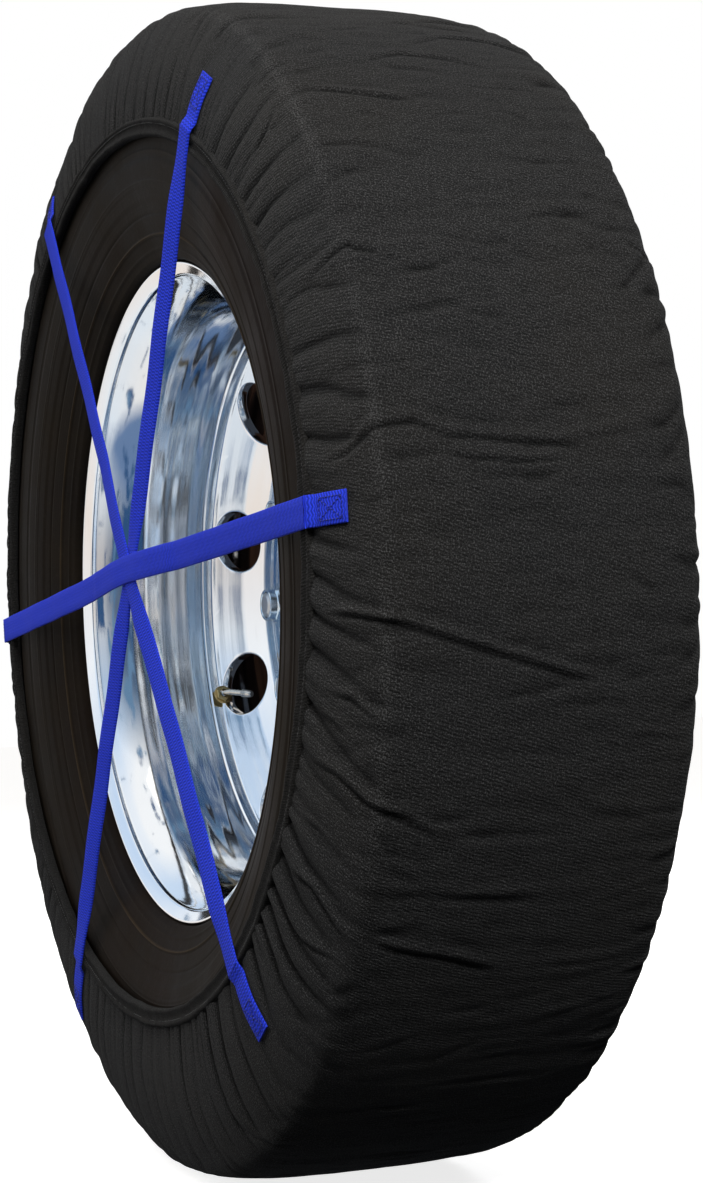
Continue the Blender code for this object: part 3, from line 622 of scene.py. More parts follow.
def make_nuts_and_studs():
    turn = circle_angles(96)
    rows = zip(*(nut_outline(a) for a in turn))
    points = [[polar(radius, a + math.radians(15), y) for a, (radius, y) in zip(turn, row)] for row in rows]
    nut = make_object("lug_nut_shape", points, ring_faces(len(points), len(turn), True), LOOKS["nut"], 32.0)
    stud_line = mm((0, 21.6), (8.8, 21.6), (9.8, 22.4))
    for k in range(14):
        y = 22.8 + 1.5 * k
        stud_line += mm((11.8, y + 0.3), (11.9, y + 0.5), (10.7, y + 1.2))
    stud_line += mm((10.8, 44.5), (10.8, 93.4), (15.2, 93.4), (16, 94.2), (16, 99), (15, 99.9), (0, 99.9))
    stud = turned("stud_shape", stud_line, "bolt_steel", segments=40, sharp=30)
    places = [Matrix.Translation(polar(STUD_CIRCLE, a, 0.0)) for a in circle_angles(HAND_HOLES, STUD_START)]
    spun = [place @ Matrix.Rotation(0.35 * k, 4, "Y") for k, place in enumerate(places)]
    place_copies(nut, "lug_nut_fine", "lug_nut", "bolt_steel", spun)
    place_copies(stud, "stud_fine", "wheel_stud", "bolt_steel", places)


def make_hub_parts():
    """The turned pieces behind and inside the wheel, and the looks of the CAD nodes that stay."""
    for name, node, slot, corner, segments, outline in (
        ("hub_cap_fine", "hub_cap", "cap_metal", 0.0012, 128, mm(
            (0, 24), (30, 24), (31.5, 24.8), (50, 24.8), (56, 25.2), (60.5, 29), (62, 42.5), (64, 43.2), (80, 43.2),
            (80, 46.6), (59, 46.6), (57.5, 30), (53, 27.2), (0, 27))),
        ("cap_gasket_fine", "hub_cap_gasket", "rubber", 0.0, 128, mm(
            (59.2, 47), (80.2, 47), (80.2, 47.6), (59.2, 47.6))),
        ("hub_fine", "hub", "hub_paint", 0.0020, 128, mm(
            (56.6, 48), (108.8, 48), (108.8, 75.5), (168, 75.5), (168, 93), (100, 93), (88, 105), (85, 140), (84, 180),
            (71.2, 180), (71.2, 169), (67.2, 169), (67.2, 141.2), (60, 141.2), (51.5, 76.5), (56.6, 76.5))),
        ("brake_drum_fine", "brake_drum", "cast_iron", 0.0022, 160, mm(
            (110.8, 65.2), (193, 65.2), (205.5, 74.5), (206.2, 90), (206.2, 104), (207.8, 106), (207.8, 111),
            (206.2, 113), (206.2, 158), (212, 162), (212, 180), (207, 180), (191, 180), (190.5, 176), (190.5, 86),
            (180, 75), (110.8, 75))),
        ("oil_seal_fine", "oil_seal", "rubber", 0.0006, 96, mm(
            (53.2, 169.5), (70.8, 169.5), (70.8, 179.2), (66, 179.5), (64, 177.5), (57, 177.5), (55, 179.5),
            (53.2, 179.5))),
    ):
        line = rounded(outline, corner, closed=outline[0][0] > 0) if corner else outline
        turned(name, line, slot, node, segments)
    screw = mm((0, 37.7), (2, 37.7), (3.4, 37.9), (3.6, 37.5), (5.8, 37.5), (6.2, 37.9), (6.2, 42.4), (3.6, 42.8),
               (3.6, 60), (0, 60))
    shape = turned("cap_screw_shape", screw, "bolt_steel", segments=36, sharp=30)
    places = [Matrix.Translation(polar(0.0720, a, 0.0)) for a in circle_angles(6)]
    place_copies(shape, "cap_screw_fine", "hub_cap_screw", "bolt_steel", places)
    kept = {"bearing": "bearing_steel", "spindle": "bolt_steel", "balance": "lead", "grommet": "rubber"}
    for node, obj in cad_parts.items():
        for part, look in kept.items():
            if part in node:
                obj.data.materials.clear()
                obj.data.materials.append(LOOKS["forged_steel" if node == "spindle" else look])


def tube_along(name, path, radii, look, sides=20):
    """A closed round bar along a smooth path."""
    path = [Vector(p) for p in path]
    points = []
    for i, point in enumerate(path):
        along = (path[min(i + 1, len(path) - 1)] - path[max(i - 1, 0)]).normalized()
        across = along.cross(Vector((0.0, 0.3, 1.0))).normalized()
        up = along.cross(across)
        points += [point + radii[i] * (math.cos(a) * across + math.sin(a) * up) for a in circle_angles(sides)]
    faces = [*ring_faces(len(path), sides, False), range(sides), range(len(points) - sides, len(points))[::-1]]
    return make_object(name, points, faces, look, 35.0)


def make_valve():
    """A bent metal valve through the barrel: grommet foot, brass nut, knurled cap."""
    route = [(0.2745, 0.0, 0.0), (0.2625, 0.0, 0.0), (0.2550, 0.0, 0.001), (0.2490, 0.007, 0.005),
             (0.2440, 0.018, 0.009), (0.2395, 0.029, 0.0125)]
    line = smooth_line([tuple(polar(radius, VALVE_ANGLE + turn, VALVE_Y + lift)) for radius, turn, lift in route], 6)
    radii = [0.0040 if k < 12 else 0.0029 + 0.0002 * (k % 2) for k in range(len(line))]
    finish_piece(tube_along("valve_stem_fine", line, radii, LOOKS["valve_metal"]), "valve_metal", "valve_stem")
    tip, before = Vector(line[-1]), Vector(line[-3])
    way = (tip - before).normalized()
    cap = mm((0.6, 3.6), (1, 4), (1.4, 4.2), (2.2, 3.9), (3, 4.2), (3.8, 3.9), (4.6, 4.2), (5.4, 3.9), (6.2, 4.2),
             (7, 3.9), (8.8, 4), (10.4, 3.6), (11.8, 3.3), (12.5, 2.8))
    path, sizes = [tip + way * step for step, _ in cap], [size for _, size in cap]
    finish_piece(tube_along("valve_cap_fine", path, sizes, LOOKS["valve_metal"], 24), "valve_metal", "valve_cap")
    outward, along = polar(1.0, VALVE_ANGLE, 0.0), Vector((0.0, 1.0, 0.0))
    side = outward.cross(along)
    for name, node, look, sides, section in (
        ("valve_nut_fine", "valve_nut", "brass", 48, mm(
            (4.5, 260.2), (9.2, 260.2), (9.4, 259.8), (9.4, 259.4), (7.8, 259), (7.8, 255.6), (7, 255), (4.5, 255))),
        ("valve_grommet_fine", "valve_grommet", "rubber", 40, mm(
            (4.6, 274.5), (9.2, 274.5), (10, 273.8), (10, 272.6), (9.4, 272), (4.6, 272))),
    ):
        points = []
        for radius, depth in section:
            six_sided = look == "brass" and 0.0065 < radius < 0.0091
            for a in circle_angles(sides):
                flat = hexagon(a, radius * 0.94) if six_sided else radius
                points.append(outward * depth + along * VALVE_Y + flat * (math.cos(a) * along + math.sin(a) * side))
        obj = make_object(name, points, ring_faces(len(section), sides, True), LOOKS[look], 32.0)
        finish_piece(obj, look, node)


# The tyre.


def tyre_side(radius):
    up = np.clip((radius - TYRE_WIDEST_RADIUS) / (TYRE_SHOULDER_RADIUS - TYRE_WIDEST_RADIUS), 0, None)
    down = np.clip((TYRE_WIDEST_RADIUS - radius) / (TYRE_WIDEST_RADIUS - RIM_RADIUS), 0, None)
    return TYRE_HALF_WIDTH - (TYRE_HALF_WIDTH - TYRE_SHOULDER_Y) * up**2.3 - (TYRE_HALF_WIDTH - 0.121) * down**2


def sidewall_line():
    """The sidewall from the rim flange to the shoulder, with its moulded ribs and one raised plain band."""
    radius = np.concatenate([np.arange(*reach) for reach in mm((303.5, 345, 0.7), (345, 430, 1.2), (430, 508, 4))])
    y = tyre_side(radius)
    for at, height, width in mm((310.5, 0.9, 1.6), (322.5, 1.7, 1.3), (340.5, -0.8, 1.2), (366, 0.6, 1), (369, 0.6, 1),
                                (395, 0.8, 1.4), (419, 1, 1.3), (422.5, 1, 1.3)):
        y = y + height * np.exp(-(((radius - at) / width) ** 2))
    for at, rise in ((0.3520, 0.0010), (0.3880, -0.0010)):
        y = y + rise / (1 + np.exp(-(radius - at) / 0.0006))
    return list(zip(radius, y))


def make_tyre():
    seat, seat_in = (285.8 - SEAT_TAPER * (105 - y) + 0.6 for y in (104.3, 76))
    side = mm((seat_in, 76.5), (seat_in + 0.3, 75.5), (seat, 104.3), (299.2, 108.5), (300.2, 112), (300.3, 119),
              (301.2, 120.6))
    side += sidewall_line() + mm((508.5, 121.6), (511, 119))
    tread = []
    for y in np.linspace(-0.112, 0.112, 9):
        drop = (TYRE_RADIUS - TYRE_SHOULDER_RADIUS) * (abs(y) / TYRE_SHOULDER_Y) ** 4
        tread.append((TYRE_RADIUS - drop, y))
    for groove in (-0.046, 0.0, 0.046):
        tread = [p for p in tread if abs(p[1] - groove) > 0.006]
        cut = mm((0.2, -5.5), (12.2, -4.5), (12.2, 4.5), (0.2, 5.5))
        tread += [(TYRE_RADIUS - deep, groove + y) for deep, y in cut]
    tread.sort(key=lambda p: p[1])
    cavity = smooth_line(mm((296, 77.5), (320, 93), (345, 110), (405, 131), (463, 124), (497, 95), (500.5, 50)), 4)
    cavity = [tuple(p) for p in cavity]
    outline = [(r, -y) for r, y in side] + tread + side[::-1] + cavity + [(r, -y) for r, y in cavity[::-1]]
    turned("truck_tyre", outline, "tyre", "tyre", 240, 30.0)


# The cloth.

COLUMNS = 1710
OUTER_WALL_ROWS = 38
INNER_WALL_ROWS = 27
WALL_END = 0.5075
CROWN_END = 0.1155
INBOARD_LOOSE = 0.0078
GIRTH = math.tau * 0.522
CALM_ANGLE = math.radians(258.0)


def eased(t):
    return t * t * (3 - 2 * t)


def sock_side(radius):
    share = np.clip(radius - TYRE_WIDEST_RADIUS, 0, None) / (SOCK_TOP_RADIUS - TYRE_WIDEST_RADIUS)
    return SOCK_HALF_WIDTH - (SOCK_HALF_WIDTH - SOCK_TOP_Y) * share**2.5


def crown(y):
    return SOCK_RADIUS - (SOCK_RADIUS - SOCK_SHOULDER_RADIUS) * (np.abs(y) / SOCK_SHOULDER_Y) ** 4


def opening_edge(angle):
    c, s = np.cos(angle), np.sin(angle)
    a = (c / OPENING_HALF_X) ** 2 + (s / OPENING_HALF_Z) ** 2
    b = -2 * s * OPENING_CENTRE_Z / OPENING_HALF_Z**2
    d = (OPENING_CENTRE_Z / OPENING_HALF_Z) ** 2 - 1
    return (-b + np.sqrt(b * b - 4 * a * d)) / (2 * a)


def value_noise(angle, s, cells, step, seed):
    """Smooth noise from -1 to 1 that repeats round the axis. cells is its count round, step its length in s."""
    draw = np.random.default_rng(seed)
    u = (angle / math.tau * cells) % cells
    v = (s + 1.0) / step
    table = draw.uniform(-1, 1, (cells, int(v.max()) + 3))
    i, j = u.astype(int) % cells, v.astype(int)
    fu, fv = eased(u - np.floor(u)), eased(v - np.floor(v))
    k = (i + 1) % cells
    low = table[i, j] * (1 - fu) + table[k, j] * fu
    high = table[i, j + 1] * (1 - fu) + table[k, j + 1] * fu
    return low * (1 - fv) + high * fv


def base_grid(turn):
    """The sock's outer surface before any fold: radius, height and cloth distance s at each row and column.
    s is measured along the cloth from the outboard shoulder: below zero down the outboard wall."""
    whole = np.ones_like(turn)

    def wall(edge, sign, loose, count):
        for t in np.linspace(0.0, 1.0, count):
            radius = edge + (WALL_END - edge) * t
            yield radius, sign * sock_side(radius) + loose * eased(t)

    def corner(sign, loose):
        a = np.array([WALL_END, sock_side(WALL_END) + loose])
        b = np.array([0.5176, 0.1250 + loose])
        c = np.array([crown(CROWN_END), CROWN_END + loose])
        for t in np.linspace(0.0, 1.0, 9)[1:-1]:
            p = a * (1 - t) ** 2 + b * 2 * t * (1 - t) + c * t * t
            yield whole * p[0], whole * sign * p[1]

    rows = [*wall(opening_edge(turn) + 0.0006, -1.0, 0.0, OUTER_WALL_ROWS), *corner(-1.0, 0.0)]
    for y in np.linspace(-CROWN_END, CROWN_END, 44):
        stretched = y + INBOARD_LOOSE * (y + CROWN_END) / (2 * CROWN_END)
        rows.append((whole * crown(y), whole * stretched))
    rows += [*corner(1.0, INBOARD_LOOSE)][::-1]
    rows += [*wall(whole * (ELASTIC_RING_RADIUS + 0.004), 1.0, INBOARD_LOOSE, INNER_WALL_ROWS)][::-1]
    radius, height = (np.array(grid) for grid in zip(*rows))
    length = np.hypot(np.diff(radius, axis=0), np.diff(height, axis=0))
    s = np.concatenate([np.zeros((1, len(turn))), np.cumsum(length, axis=0)])
    shoulder, far = OUTER_WALL_ROWS + 3, len(rows) - INNER_WALL_ROWS - 4
    return radius, height, s - s[shoulder], shoulder, far


def press(field, turns, s, line, depth, width, lean, fade):
    """Press one crease into the field: a narrow valley along a polyline of (angle, s) with a raised lip."""
    line = np.asarray(line, float)
    count = len(turns)
    reach = 5 * width / 0.45
    low = int(math.floor((line[:, 0].min() - reach) / math.tau * count))
    high = int(math.ceil((line[:, 0].max() + reach) / math.tau * count))
    index = np.arange(low, high + 1)
    column = index % count
    y = s[:, column]
    rows = np.flatnonzero((y.max(1) > line[:, 1].min() - 5 * width) & (y.min(1) < line[:, 1].max() + 5 * width))
    if not len(rows):
        return
    rows = slice(rows[0], rows[-1] + 1)
    y = y[rows]
    x = (index * math.tau / count)[None, :] * 0.5 + 0 * y
    best = np.full(y.shape, 1e9)
    signed, along, total = np.zeros(y.shape), np.zeros(y.shape), 0.0
    for p, q in zip(line, line[1:]):
        a, b = np.array([p[0] * 0.5, p[1]]), np.array([q[0] * 0.5, q[1]])
        d = b - a
        size = np.hypot(*d)
        t = np.clip(((x - a[0]) * d[0] + (y - a[1]) * d[1]) / size**2, 0, 1)
        gap = np.hypot(x - a[0] - t * d[0], y - a[1] - t * d[1])
        side = np.sign((x - a[0]) * d[1] - (y - a[1]) * d[0])
        nearer = gap < best
        best = np.where(nearer, gap, best)
        signed = np.where(nearer, gap * side, signed)
        along = np.where(nearer, total + t * size, along)
        total += size
    ends = eased(np.clip(np.minimum(along, total - along) / fade, 0, 1))
    valley = -np.exp(-np.abs(best / width) ** 1.5)
    lips = 0.5 * np.exp(-(((best - 2.5 * width) / (1.6 * width)) ** 2)) * (1 + lean * np.sign(signed) * 2)
    field[rows, column] += depth * ends * (valley + lips)


# Creases read off the photo: ((degrees round the axis, mm along the cloth from the outboard shoulder), ...),
# and each one's depth and width in mm and its lean.
PHOTO_CREASES = (
    (((47.7, 10), (46.7, 41), (45.8, 72), (45.5, 105)), 3.4, 3.0, 0.3),
    (((47.4, -9), (46.1, -26), (45.2, -45), (45.2, -62)), 3.0, 3.0, 0.3),
    (((26.8, -46), (27.5, -21), (28.1, 3), (26.8, 26), (25.6, 54)), 2.6, 3.2, 0.3),
    (((9.5, -58), (9.8, -27), (11.4, -1), (11.7, 30), (10.4, 55), (9.8, 127), (9.5, 171)), 2.6, 3.0, 0.2),
    (((9.2, 41), (8.5, 77), (8.2, 115), (8.5, 153)), 2.6, 2.2, 0.4),
    (((355.9, -61), (355.9, -30), (355.3, 12), (354.0, 50), (352.7, 89), (350.8, 147), (350.2, 173)), 4.2, 2.8, 0.4),
    (((348.9, -62), (348.6, -29), (346.7, 3)), 3.0, 3.0, 0.3),
    (((346.7, -71), (346.4, -48), (344.8, -24)), 2.4, 2.4, 0.3),
    (((342.0, -74), (341.7, -40), (340.1, -8), (339.2, 20), (336.9, 61)), 3.2, 3.0, 0.3),
    (((336.0, -81), (335.4, -41)), 2.8, 2.6, 0.3),
    (((329.7, -92), (329.7, -49), (326.5, 0)), 3.4, 3.2, 0.3),
    (((324.6, -90), (323.7, -49), (324.6, -6)), 3.2, 3.0, 0.3),
    (((328.1, 0), (326.8, 31), (325.6, 80), (323.7, 126)), 3.2, 3.6, 0.4),
    (((332.2, 11), (332.2, 50), (331.6, 91), (331.3, 152)), 1.8, 4.8, 0.2),
    (((1.3, 132), (1.3, 145), (1.3, 160)), 1.6, 2.2, 0.3),
    (((356.2, 133), (356.2, 144), (355.9, 155)), 1.6, 2.2, 0.3),
    (((345.5, 189), (345.5, 217), (344.8, 252)), 1.6, 2.6, 0.3),
    (((55.9, 125), (59.4, 170), (59.4, 208), (58.7, 243)), 2.0, 3.4, 0.3),
    (((52.1, 74), (54.3, 116), (53.7, 158), (51.5, 196)), 2.0, 3.4, 0.3),
    (((62.2, 126), (65.7, 184), (66.3, 235)), 1.8, 3.4, 0.3),
)
# The creases are pressed in at this share of the depth and width that were read.
CREASE_DEPTH = 0.62
CREASE_WIDTH = 0.66


def pleats(angle, s, edge, reach, count, seed, slant, narrow=0.55):
    """Gathers: rounded ridges with narrow valleys that start at the gathered edge and die out along the cloth."""
    away = np.abs(s - edge)
    warp = 2.4 * value_noise(angle, 0 * s, 41, 1.0, seed) + 1.3 * value_noise(angle, s, 97, 0.05, seed + 1)
    ridge = np.abs(np.sin((count * (angle + slant * away) + warp) / 2)) ** narrow - 0.72
    size = 0.75 + 0.75 * value_noise(angle, s, 62, 0.09, seed + 2)
    return ridge * size * np.clip(1 - away / reach, 0, 1) ** 0.7


def fold_field(angle, s, hem_s, far_s, edge_s):
    """How far the cloth stands from its base surface: gathers at the hems, creases over the shoulders, wrinkles."""
    draw = np.random.default_rng(21)
    on_wall = np.clip(-s / 0.03, 0, 1)
    beyond = np.clip((s - far_s) / 0.03, 0, 1)
    on_tread = (1 - on_wall) * (1 - beyond)
    left = np.clip(-np.cos(angle), 0, 1)
    low_right = np.clip(np.cos(angle + math.radians(35.0)), 0, 1)
    calm = 1 - 0.62 * np.clip(np.cos(angle - CALM_ANGLE), 0, 1) ** 6

    def noise(cells, step, seed, along=s):
        return value_noise(angle, along, cells, step, seed)

    def crease(line, depth, width, fade, share=1.0):
        depth, width, lean = draw.uniform(*depth) * share, draw.uniform(*width), draw.uniform(-0.5, 0.5)
        press(field, angle[0], s, line, depth, width, lean, fade)

    field = 0.0009 * noise(26, 0.11, 3)
    field += (0.0004 * noise(210, 0.045, 4) + 0.0006 * noise(120, 0.07, 5)) * (0.35 + 0.65 * on_tread)
    field += 0.00035 * noise(400, 0.030, 6) * on_tread
    deep, wide = -hem_s, edge_s - far_s
    slant = 0.5 * low_right + 0.5 * noise(9, 1.0, 50, 0 * s)
    fine = pleats(angle, s, hem_s, deep * (0.62 + 0.50 * left), 152, 60, slant, 0.75)
    broad = pleats(angle, s, hem_s, deep * 1.05, 86, 70, slant)
    field += 0.0026 * fine * (0.7 + 0.5 * left) * calm
    field += 0.0058 * broad * (0.6 + 0.2 * left + 0.5 * low_right) * calm
    field += 0.0036 * pleats(angle, s, edge_s, wide * 0.85, 148, 80, 0.3 * noise(9, 1.0, 51, 0 * s))
    field += 0.0020 * pleats(angle, s, edge_s, wide * 1.1, 88, 90, 0.0)
    at = 0.0
    while at < math.tau:
        strong = 0.45 + 0.55 * max(0.0, -math.cos(at - 0.2))
        turn = draw.normal(0, 0.03)
        low, high = -draw.uniform(0.015, 0.06), draw.uniform(0.004, 0.045)
        line = [(at - turn, low), (at, 0.5 * (low + high)), (at + turn, high)]
        crease(line, (0.0005, 0.0018), (0.0030, 0.0056), 0.03, strong)
        at += draw.uniform(0.024, 0.066)
    at = 0.0
    while at < math.tau:
        turn = draw.normal(0, 0.03)
        middle = far_s + draw.uniform(-0.02, 0.01)
        line = [(at - turn, middle - draw.uniform(0.01, 0.04)), (at + turn, middle + draw.uniform(0.01, 0.05))]
        crease(line, (0.0005, 0.0018), (0.0026, 0.0050), 0.025)
        at += draw.uniform(0.03, 0.09)
    for _ in range(260):
        at, middle = draw.uniform(0, math.tau), draw.uniform(0.01, far_s - 0.01)
        half, turn = draw.uniform(0.012, 0.05), draw.normal(0, 0.012)
        line = [(at - turn, middle - half), (at + draw.normal(0, 0.006), middle), (at + turn, middle + half)]
        crease(line, (0.0003, 0.0009), (0.0020, 0.0042), 0.7 * half)
    puffed = np.clip(-np.cos(angle - math.radians(-30.0)), 0, 1) ** 0.7
    puff_s = np.exp(-(((s + 0.012) / 0.040) ** 2))
    field += puffed * puff_s * (0.0046 + 0.0026 * noise(88, 0.30, 8))
    for line, depth, width, lean in PHOTO_CREASES:
        line = [(math.radians(degrees), along / 1000) for degrees, along in line]
        press(field, angle[0], s, line, depth / 1000 * CREASE_DEPTH, width / 1000 * CREASE_WIDTH, lean, 0.03)
    return field


def strap_press(field, turn, radius, height):
    """Hold the cloth down under the sewn ends of the straps."""
    x, z = radius * np.cos(turn), radius * np.sin(turn)
    for degrees, away in (end for ends in STRAP_ENDS.values() for end in ends):
        tip = away * np.array([math.cos(math.radians(degrees)), math.sin(math.radians(degrees))])
        d = np.array(STRAP_CROSSING) - tip
        t = np.clip(((x - tip[0]) * d[0] + (z - tip[1]) * d[1]) / np.hypot(*d) ** 2, -0.01, 0.35)
        gap = np.hypot(x - tip[0] - t * d[0], z - tip[1] - t * d[1])
        near = np.clip((0.026 - gap) / 0.012, 0, 1) * (height < -0.12)
        field = field * (1 - near) + np.clip(field, -0.0012, 0.0003) * near
    return field


def weave_map(obj, u, v, period):
    """A UV map in metres, so that a weave has its real size on the cloth."""
    mesh = obj.data
    layer = mesh.uv_layers.new(name="weave")
    index = np.empty(len(mesh.loops), np.int32)
    mesh.loops.foreach_get("vertex_index", index)
    totals = np.empty(len(mesh.polygons), np.int32)
    mesh.polygons.foreach_get("loop_total", totals)
    face = np.repeat(np.arange(len(totals)), totals)
    across = np.asarray(u, float)[index]
    top = np.zeros(len(totals))
    np.maximum.at(top, face, across)
    across = np.where(top[face] - across > period / 2, across + period, across)
    layer.data.foreach_set("uv", np.stack([across, np.asarray(v, float)[index]], -1).astype(np.float32).ravel())


def cloth_panel(name, node, points, inner, weave_u, weave_v, painted_crease_shade):
    """A closed thin skin: a fine outer grid, a coarse inner one, and a rim along both edges."""
    rows, columns = points.shape[:2]
    step = 6
    pick = [*range(0, rows - 1, 3), rows - 1]
    first, inner_columns = rows * columns, columns // step

    def with_inside(fine, other):
        coarse = other[pick][:, ::step]
        return np.concatenate([fine.reshape(first, -1), coarse.reshape(len(pick) * inner_columns, -1)])

    faces = [*ring_faces(rows, columns, False)]
    faces += [first + f[::-1] for f in ring_faces(len(pick), inner_columns, False)]
    for row, inner_row, flip in ((0, 0, False), (rows - 1, len(pick) - 1, True)):
        start = first + inner_row * inner_columns
        for k in range(inner_columns):
            outer = [row * columns + (k * step + m) % columns for m in range(step + 1)]
            face = outer + [start + (k + 1) % inner_columns, start + k]
            faces.append(face if flip else face[::-1])
    obj = make_object(name, with_inside(points, inner), faces, LOOKS["sock"], 75.0)
    weave_map(obj, with_inside(weave_u, weave_u).ravel(), with_inside(weave_v, weave_v).ravel(), GIRTH)
    # the painted crease shade, per point, which the cloth material uses to darken its colour
    shade = obj.data.attributes.new("painted_crease_shade", "FLOAT", "POINT")
    shade.data.foreach_set("value", with_inside(painted_crease_shade, painted_crease_shade).ravel().astype(np.float32))
    return finish_piece(obj, "sock", node)


def cylinder_points(radius, turn, height):
    return np.stack([radius * np.cos(turn), height, radius * np.sin(turn)], -1)


def smoothed(field, reach):
    """The field's running mean round the axis."""
    return sum(np.roll(field, k, axis=1) for k in range(-reach, reach + 1)) / (2 * reach + 1)


def make_sock():
    """The cloth's three panels, cut from one surface along its shoulders."""
    turn = np.arange(COLUMNS) * math.tau / COLUMNS
    radius, height, s, shoulder, far = base_grid(turn)
    angle = np.broadcast_to(turn, s.shape)
    field = fold_field(angle, s, s[0], s[far][0], s[-1])
    field = np.clip(strap_press(field, turn, radius, height), -0.0044, 0.0085) - 0.0006
    slope_r, slope_y = np.gradient(radius, axis=0), np.gradient(height, axis=0)
    size = np.hypot(slope_r, slope_y)
    normal_r, normal_y = slope_y / size, -slope_r / size
    on_wall = np.clip(-s / 0.02, 0, 1) + np.clip((s - s[far]) / 0.02, 0, 1)
    depth = 0.0048 + 0.0012 * on_wall
    outer = cylinder_points(radius + normal_r * field, turn, height + normal_y * field)
    inner = cylinder_points(radius - normal_r * depth, turn, height - normal_y * depth)
    # painted shade for the creases: how far the cloth lies below its running mean round the axis, for the material to
    # darken
    painted_crease_shade = np.clip((smoothed(field, 7) - field) / 0.0014, 0, 1)
    weave_u = angle / math.tau * GIRTH
    made = {}
    for name, node, rows in (
        ("sock_wall_outboard", "sock_outer_wall", slice(0, shoulder + 1)),
        ("sock_tread_cloth", "sock_tread_panel", slice(shoulder, far + 1)),
        ("sock_wall_inboard", "sock_inner_wall", slice(far, len(s))),
    ):
        made[name] = cloth_panel(name, node, *(grid[rows] for grid in (outer, inner, weave_u, s, painted_crease_shade)))
    return made


def ring_band(name, node, centre_radius, centre_height, section, columns):
    """A band round the axis: section gives (towards the axis, proud) for each row, as arrays over the columns."""
    turn = np.arange(columns) * math.tau / columns
    rows = [(centre_radius(turn) - inward, centre_height(turn, proud)) for inward, proud in section(turn)]
    points = np.array([cylinder_points(radius, turn, height) for radius, height in rows])
    obj = make_object(name, points, ring_faces(len(rows), columns, True), LOOKS["hem"], 60.0)
    u = np.broadcast_to(turn / math.tau * GIRTH, points.shape[:2])
    v = np.broadcast_to(np.arange(len(rows))[:, None] * 0.0022, points.shape[:2])
    weave_map(obj, u.ravel(), v.ravel(), GIRTH)
    return finish_piece(obj, "hem", node)


def waver(turn, *layers):
    """Noise round the axis: the sum of layers of (cells, seed, size)."""
    return sum(value_noise(turn, np.zeros_like(turn), cells, 1.0, seed) * size for cells, seed, size in layers)


def hem_section(turn):
    """The folded binding: a ridge along each edge, a dip between them, gathered so that both edges wander."""
    ripple = waver(turn, (300, 31, 0.0004), (120, 32, 0.0005))
    sway = waver(turn, (44, 33, 0.0011), (96, 34, 0.0006))
    for inward, proud in mm(
        (-2, -5), (-2.2, -1.6), (-1.6, 0.8), (-0.4, 2.2), (1.2, 2.4), (2.6, 1.6), (4, 0.6), (6, 0.4), (8.2, 0.8),
        (10, 2), (11.6, 2.8), (13, 2.5), (14.1, 1), (14.6, -1.6), (14.2, -4.6), (12.2, -5.8), (7, -6), (2, -5.8),
    ):
        yield inward + sway * (1.0 if inward > 0.009 else 0.6), proud + ripple * (1.3 if proud > 0 else 0.2)


def elastic_section(turn):
    ripple = waver(turn, (260, 41, 0.0011), (90, 42, 0.0006))
    for a in circle_angles(14):
        size = 0.0060 + ripple * (0.6 + 0.4 * math.cos(a))
        yield size * math.cos(a), size * math.sin(a)


def stitch_row(name, slot, places, length, width, look):
    """Short raised threads. places are (point, way, up) with unit vectors."""
    points, faces = [], []
    for point, way, up in places:
        side = way.cross(up).normalized()
        first = len(points)
        for share, rise in ((-0.5, -0.3), (-0.25, 0.55), (0.25, 0.55), (0.5, -0.3)):
            spot = point + way * (length * share)
            for angle in (0.0, math.pi / 2, math.pi):
                lift = width * (0.5 * math.sin(angle) + rise)
                points.append(spot + side * (width * 0.5 * math.cos(angle)) + up * lift)
            points.append(spot - up * width * 0.7)
        faces += [*(ring_faces(4, 4, False) + first), range(first, first + 4)[::-1], range(first + 12, first + 16)]
    return finish_piece(make_object(name, points, faces, LOOKS[look], 80.0), slot)


def make_hems():
    hem = ring_band("hem_binding_roll", "sock_outer_hem", opening_edge,
                    lambda turn, proud: -(sock_side(opening_edge(turn)) + proud), hem_section, 1100)
    elastic = ring_band("elastic_casing", "sock_inner_elastic", lambda turn: np.full_like(turn, ELASTIC_RING_RADIUS),
                        lambda turn, proud: SOCK_HALF_WIDTH - 0.0005 + proud, elastic_section, 900)
    places = []
    for a in circle_angles(620):
        spots = []
        for turn in (a, a + 0.004):
            radius = float(opening_edge(turn)) - 0.0034
            spots.append(polar(radius, turn, -(float(sock_side(radius)) + 0.0008)))
        places.append((spots[0], (spots[1] - spots[0]).normalized(), Vector((0.0, -1.0, 0.0))))
    return hem, elastic, stitch_row("hem_stitches", "hem", places, 0.0028, 0.0007, "black_thread")


# The straps.

STRAP_SECTION = [(-0.5, 0.25), (-0.49, 0.75), (-0.455, 1.0), (-0.2, 1.03), (0.0, 1.0), (0.2, 1.03), (0.455, 1.0),
                 (0.49, 0.75), (0.5, 0.25), (0.48, 0.0), (0.2, 0.0), (-0.2, 0.0), (-0.48, 0.0)]
STRAP_STEP = 0.0035


def edge_radius_at(x, z):
    return float(opening_edge(math.atan2(z, x)))


def strap_height(layer, radius, edge_radius, from_crossing):
    if radius > edge_radius + HEM_CLEAR:
        return float(sock_side(radius)) + STRAP_LIFT
    on_hem = float(sock_side(edge_radius)) + STRAP_OVER_HEM
    on_stack = SOCK_HALF_WIDTH + STRAP_OVER_HEM + layer * STRAP_LAYER_STEP
    share = (STRAP_STACK_STOPS[0] - from_crossing) / (STRAP_STACK_STOPS[0] - STRAP_STACK_STOPS[-1])
    return on_hem + (on_stack - on_hem) * min(max(share, 0.0), 1.0)


def strap_way(end, crossing):
    edge_radius = edge_radius_at(end.x, end.z)
    near = edge_radius + HEM_CLEAR
    stops = [near + (end.length - near) * share for share in (1.0, 0.6, 0.3)]
    stops += [near + 0.008, near - 0.0005, edge_radius - 0.020]
    span = (end - crossing).length
    outside = [end.lerp(crossing, (end.length - stop) / span) for stop in stops]
    return outside + [crossing.lerp(end, away / span) for away in STRAP_STACK_STOPS]


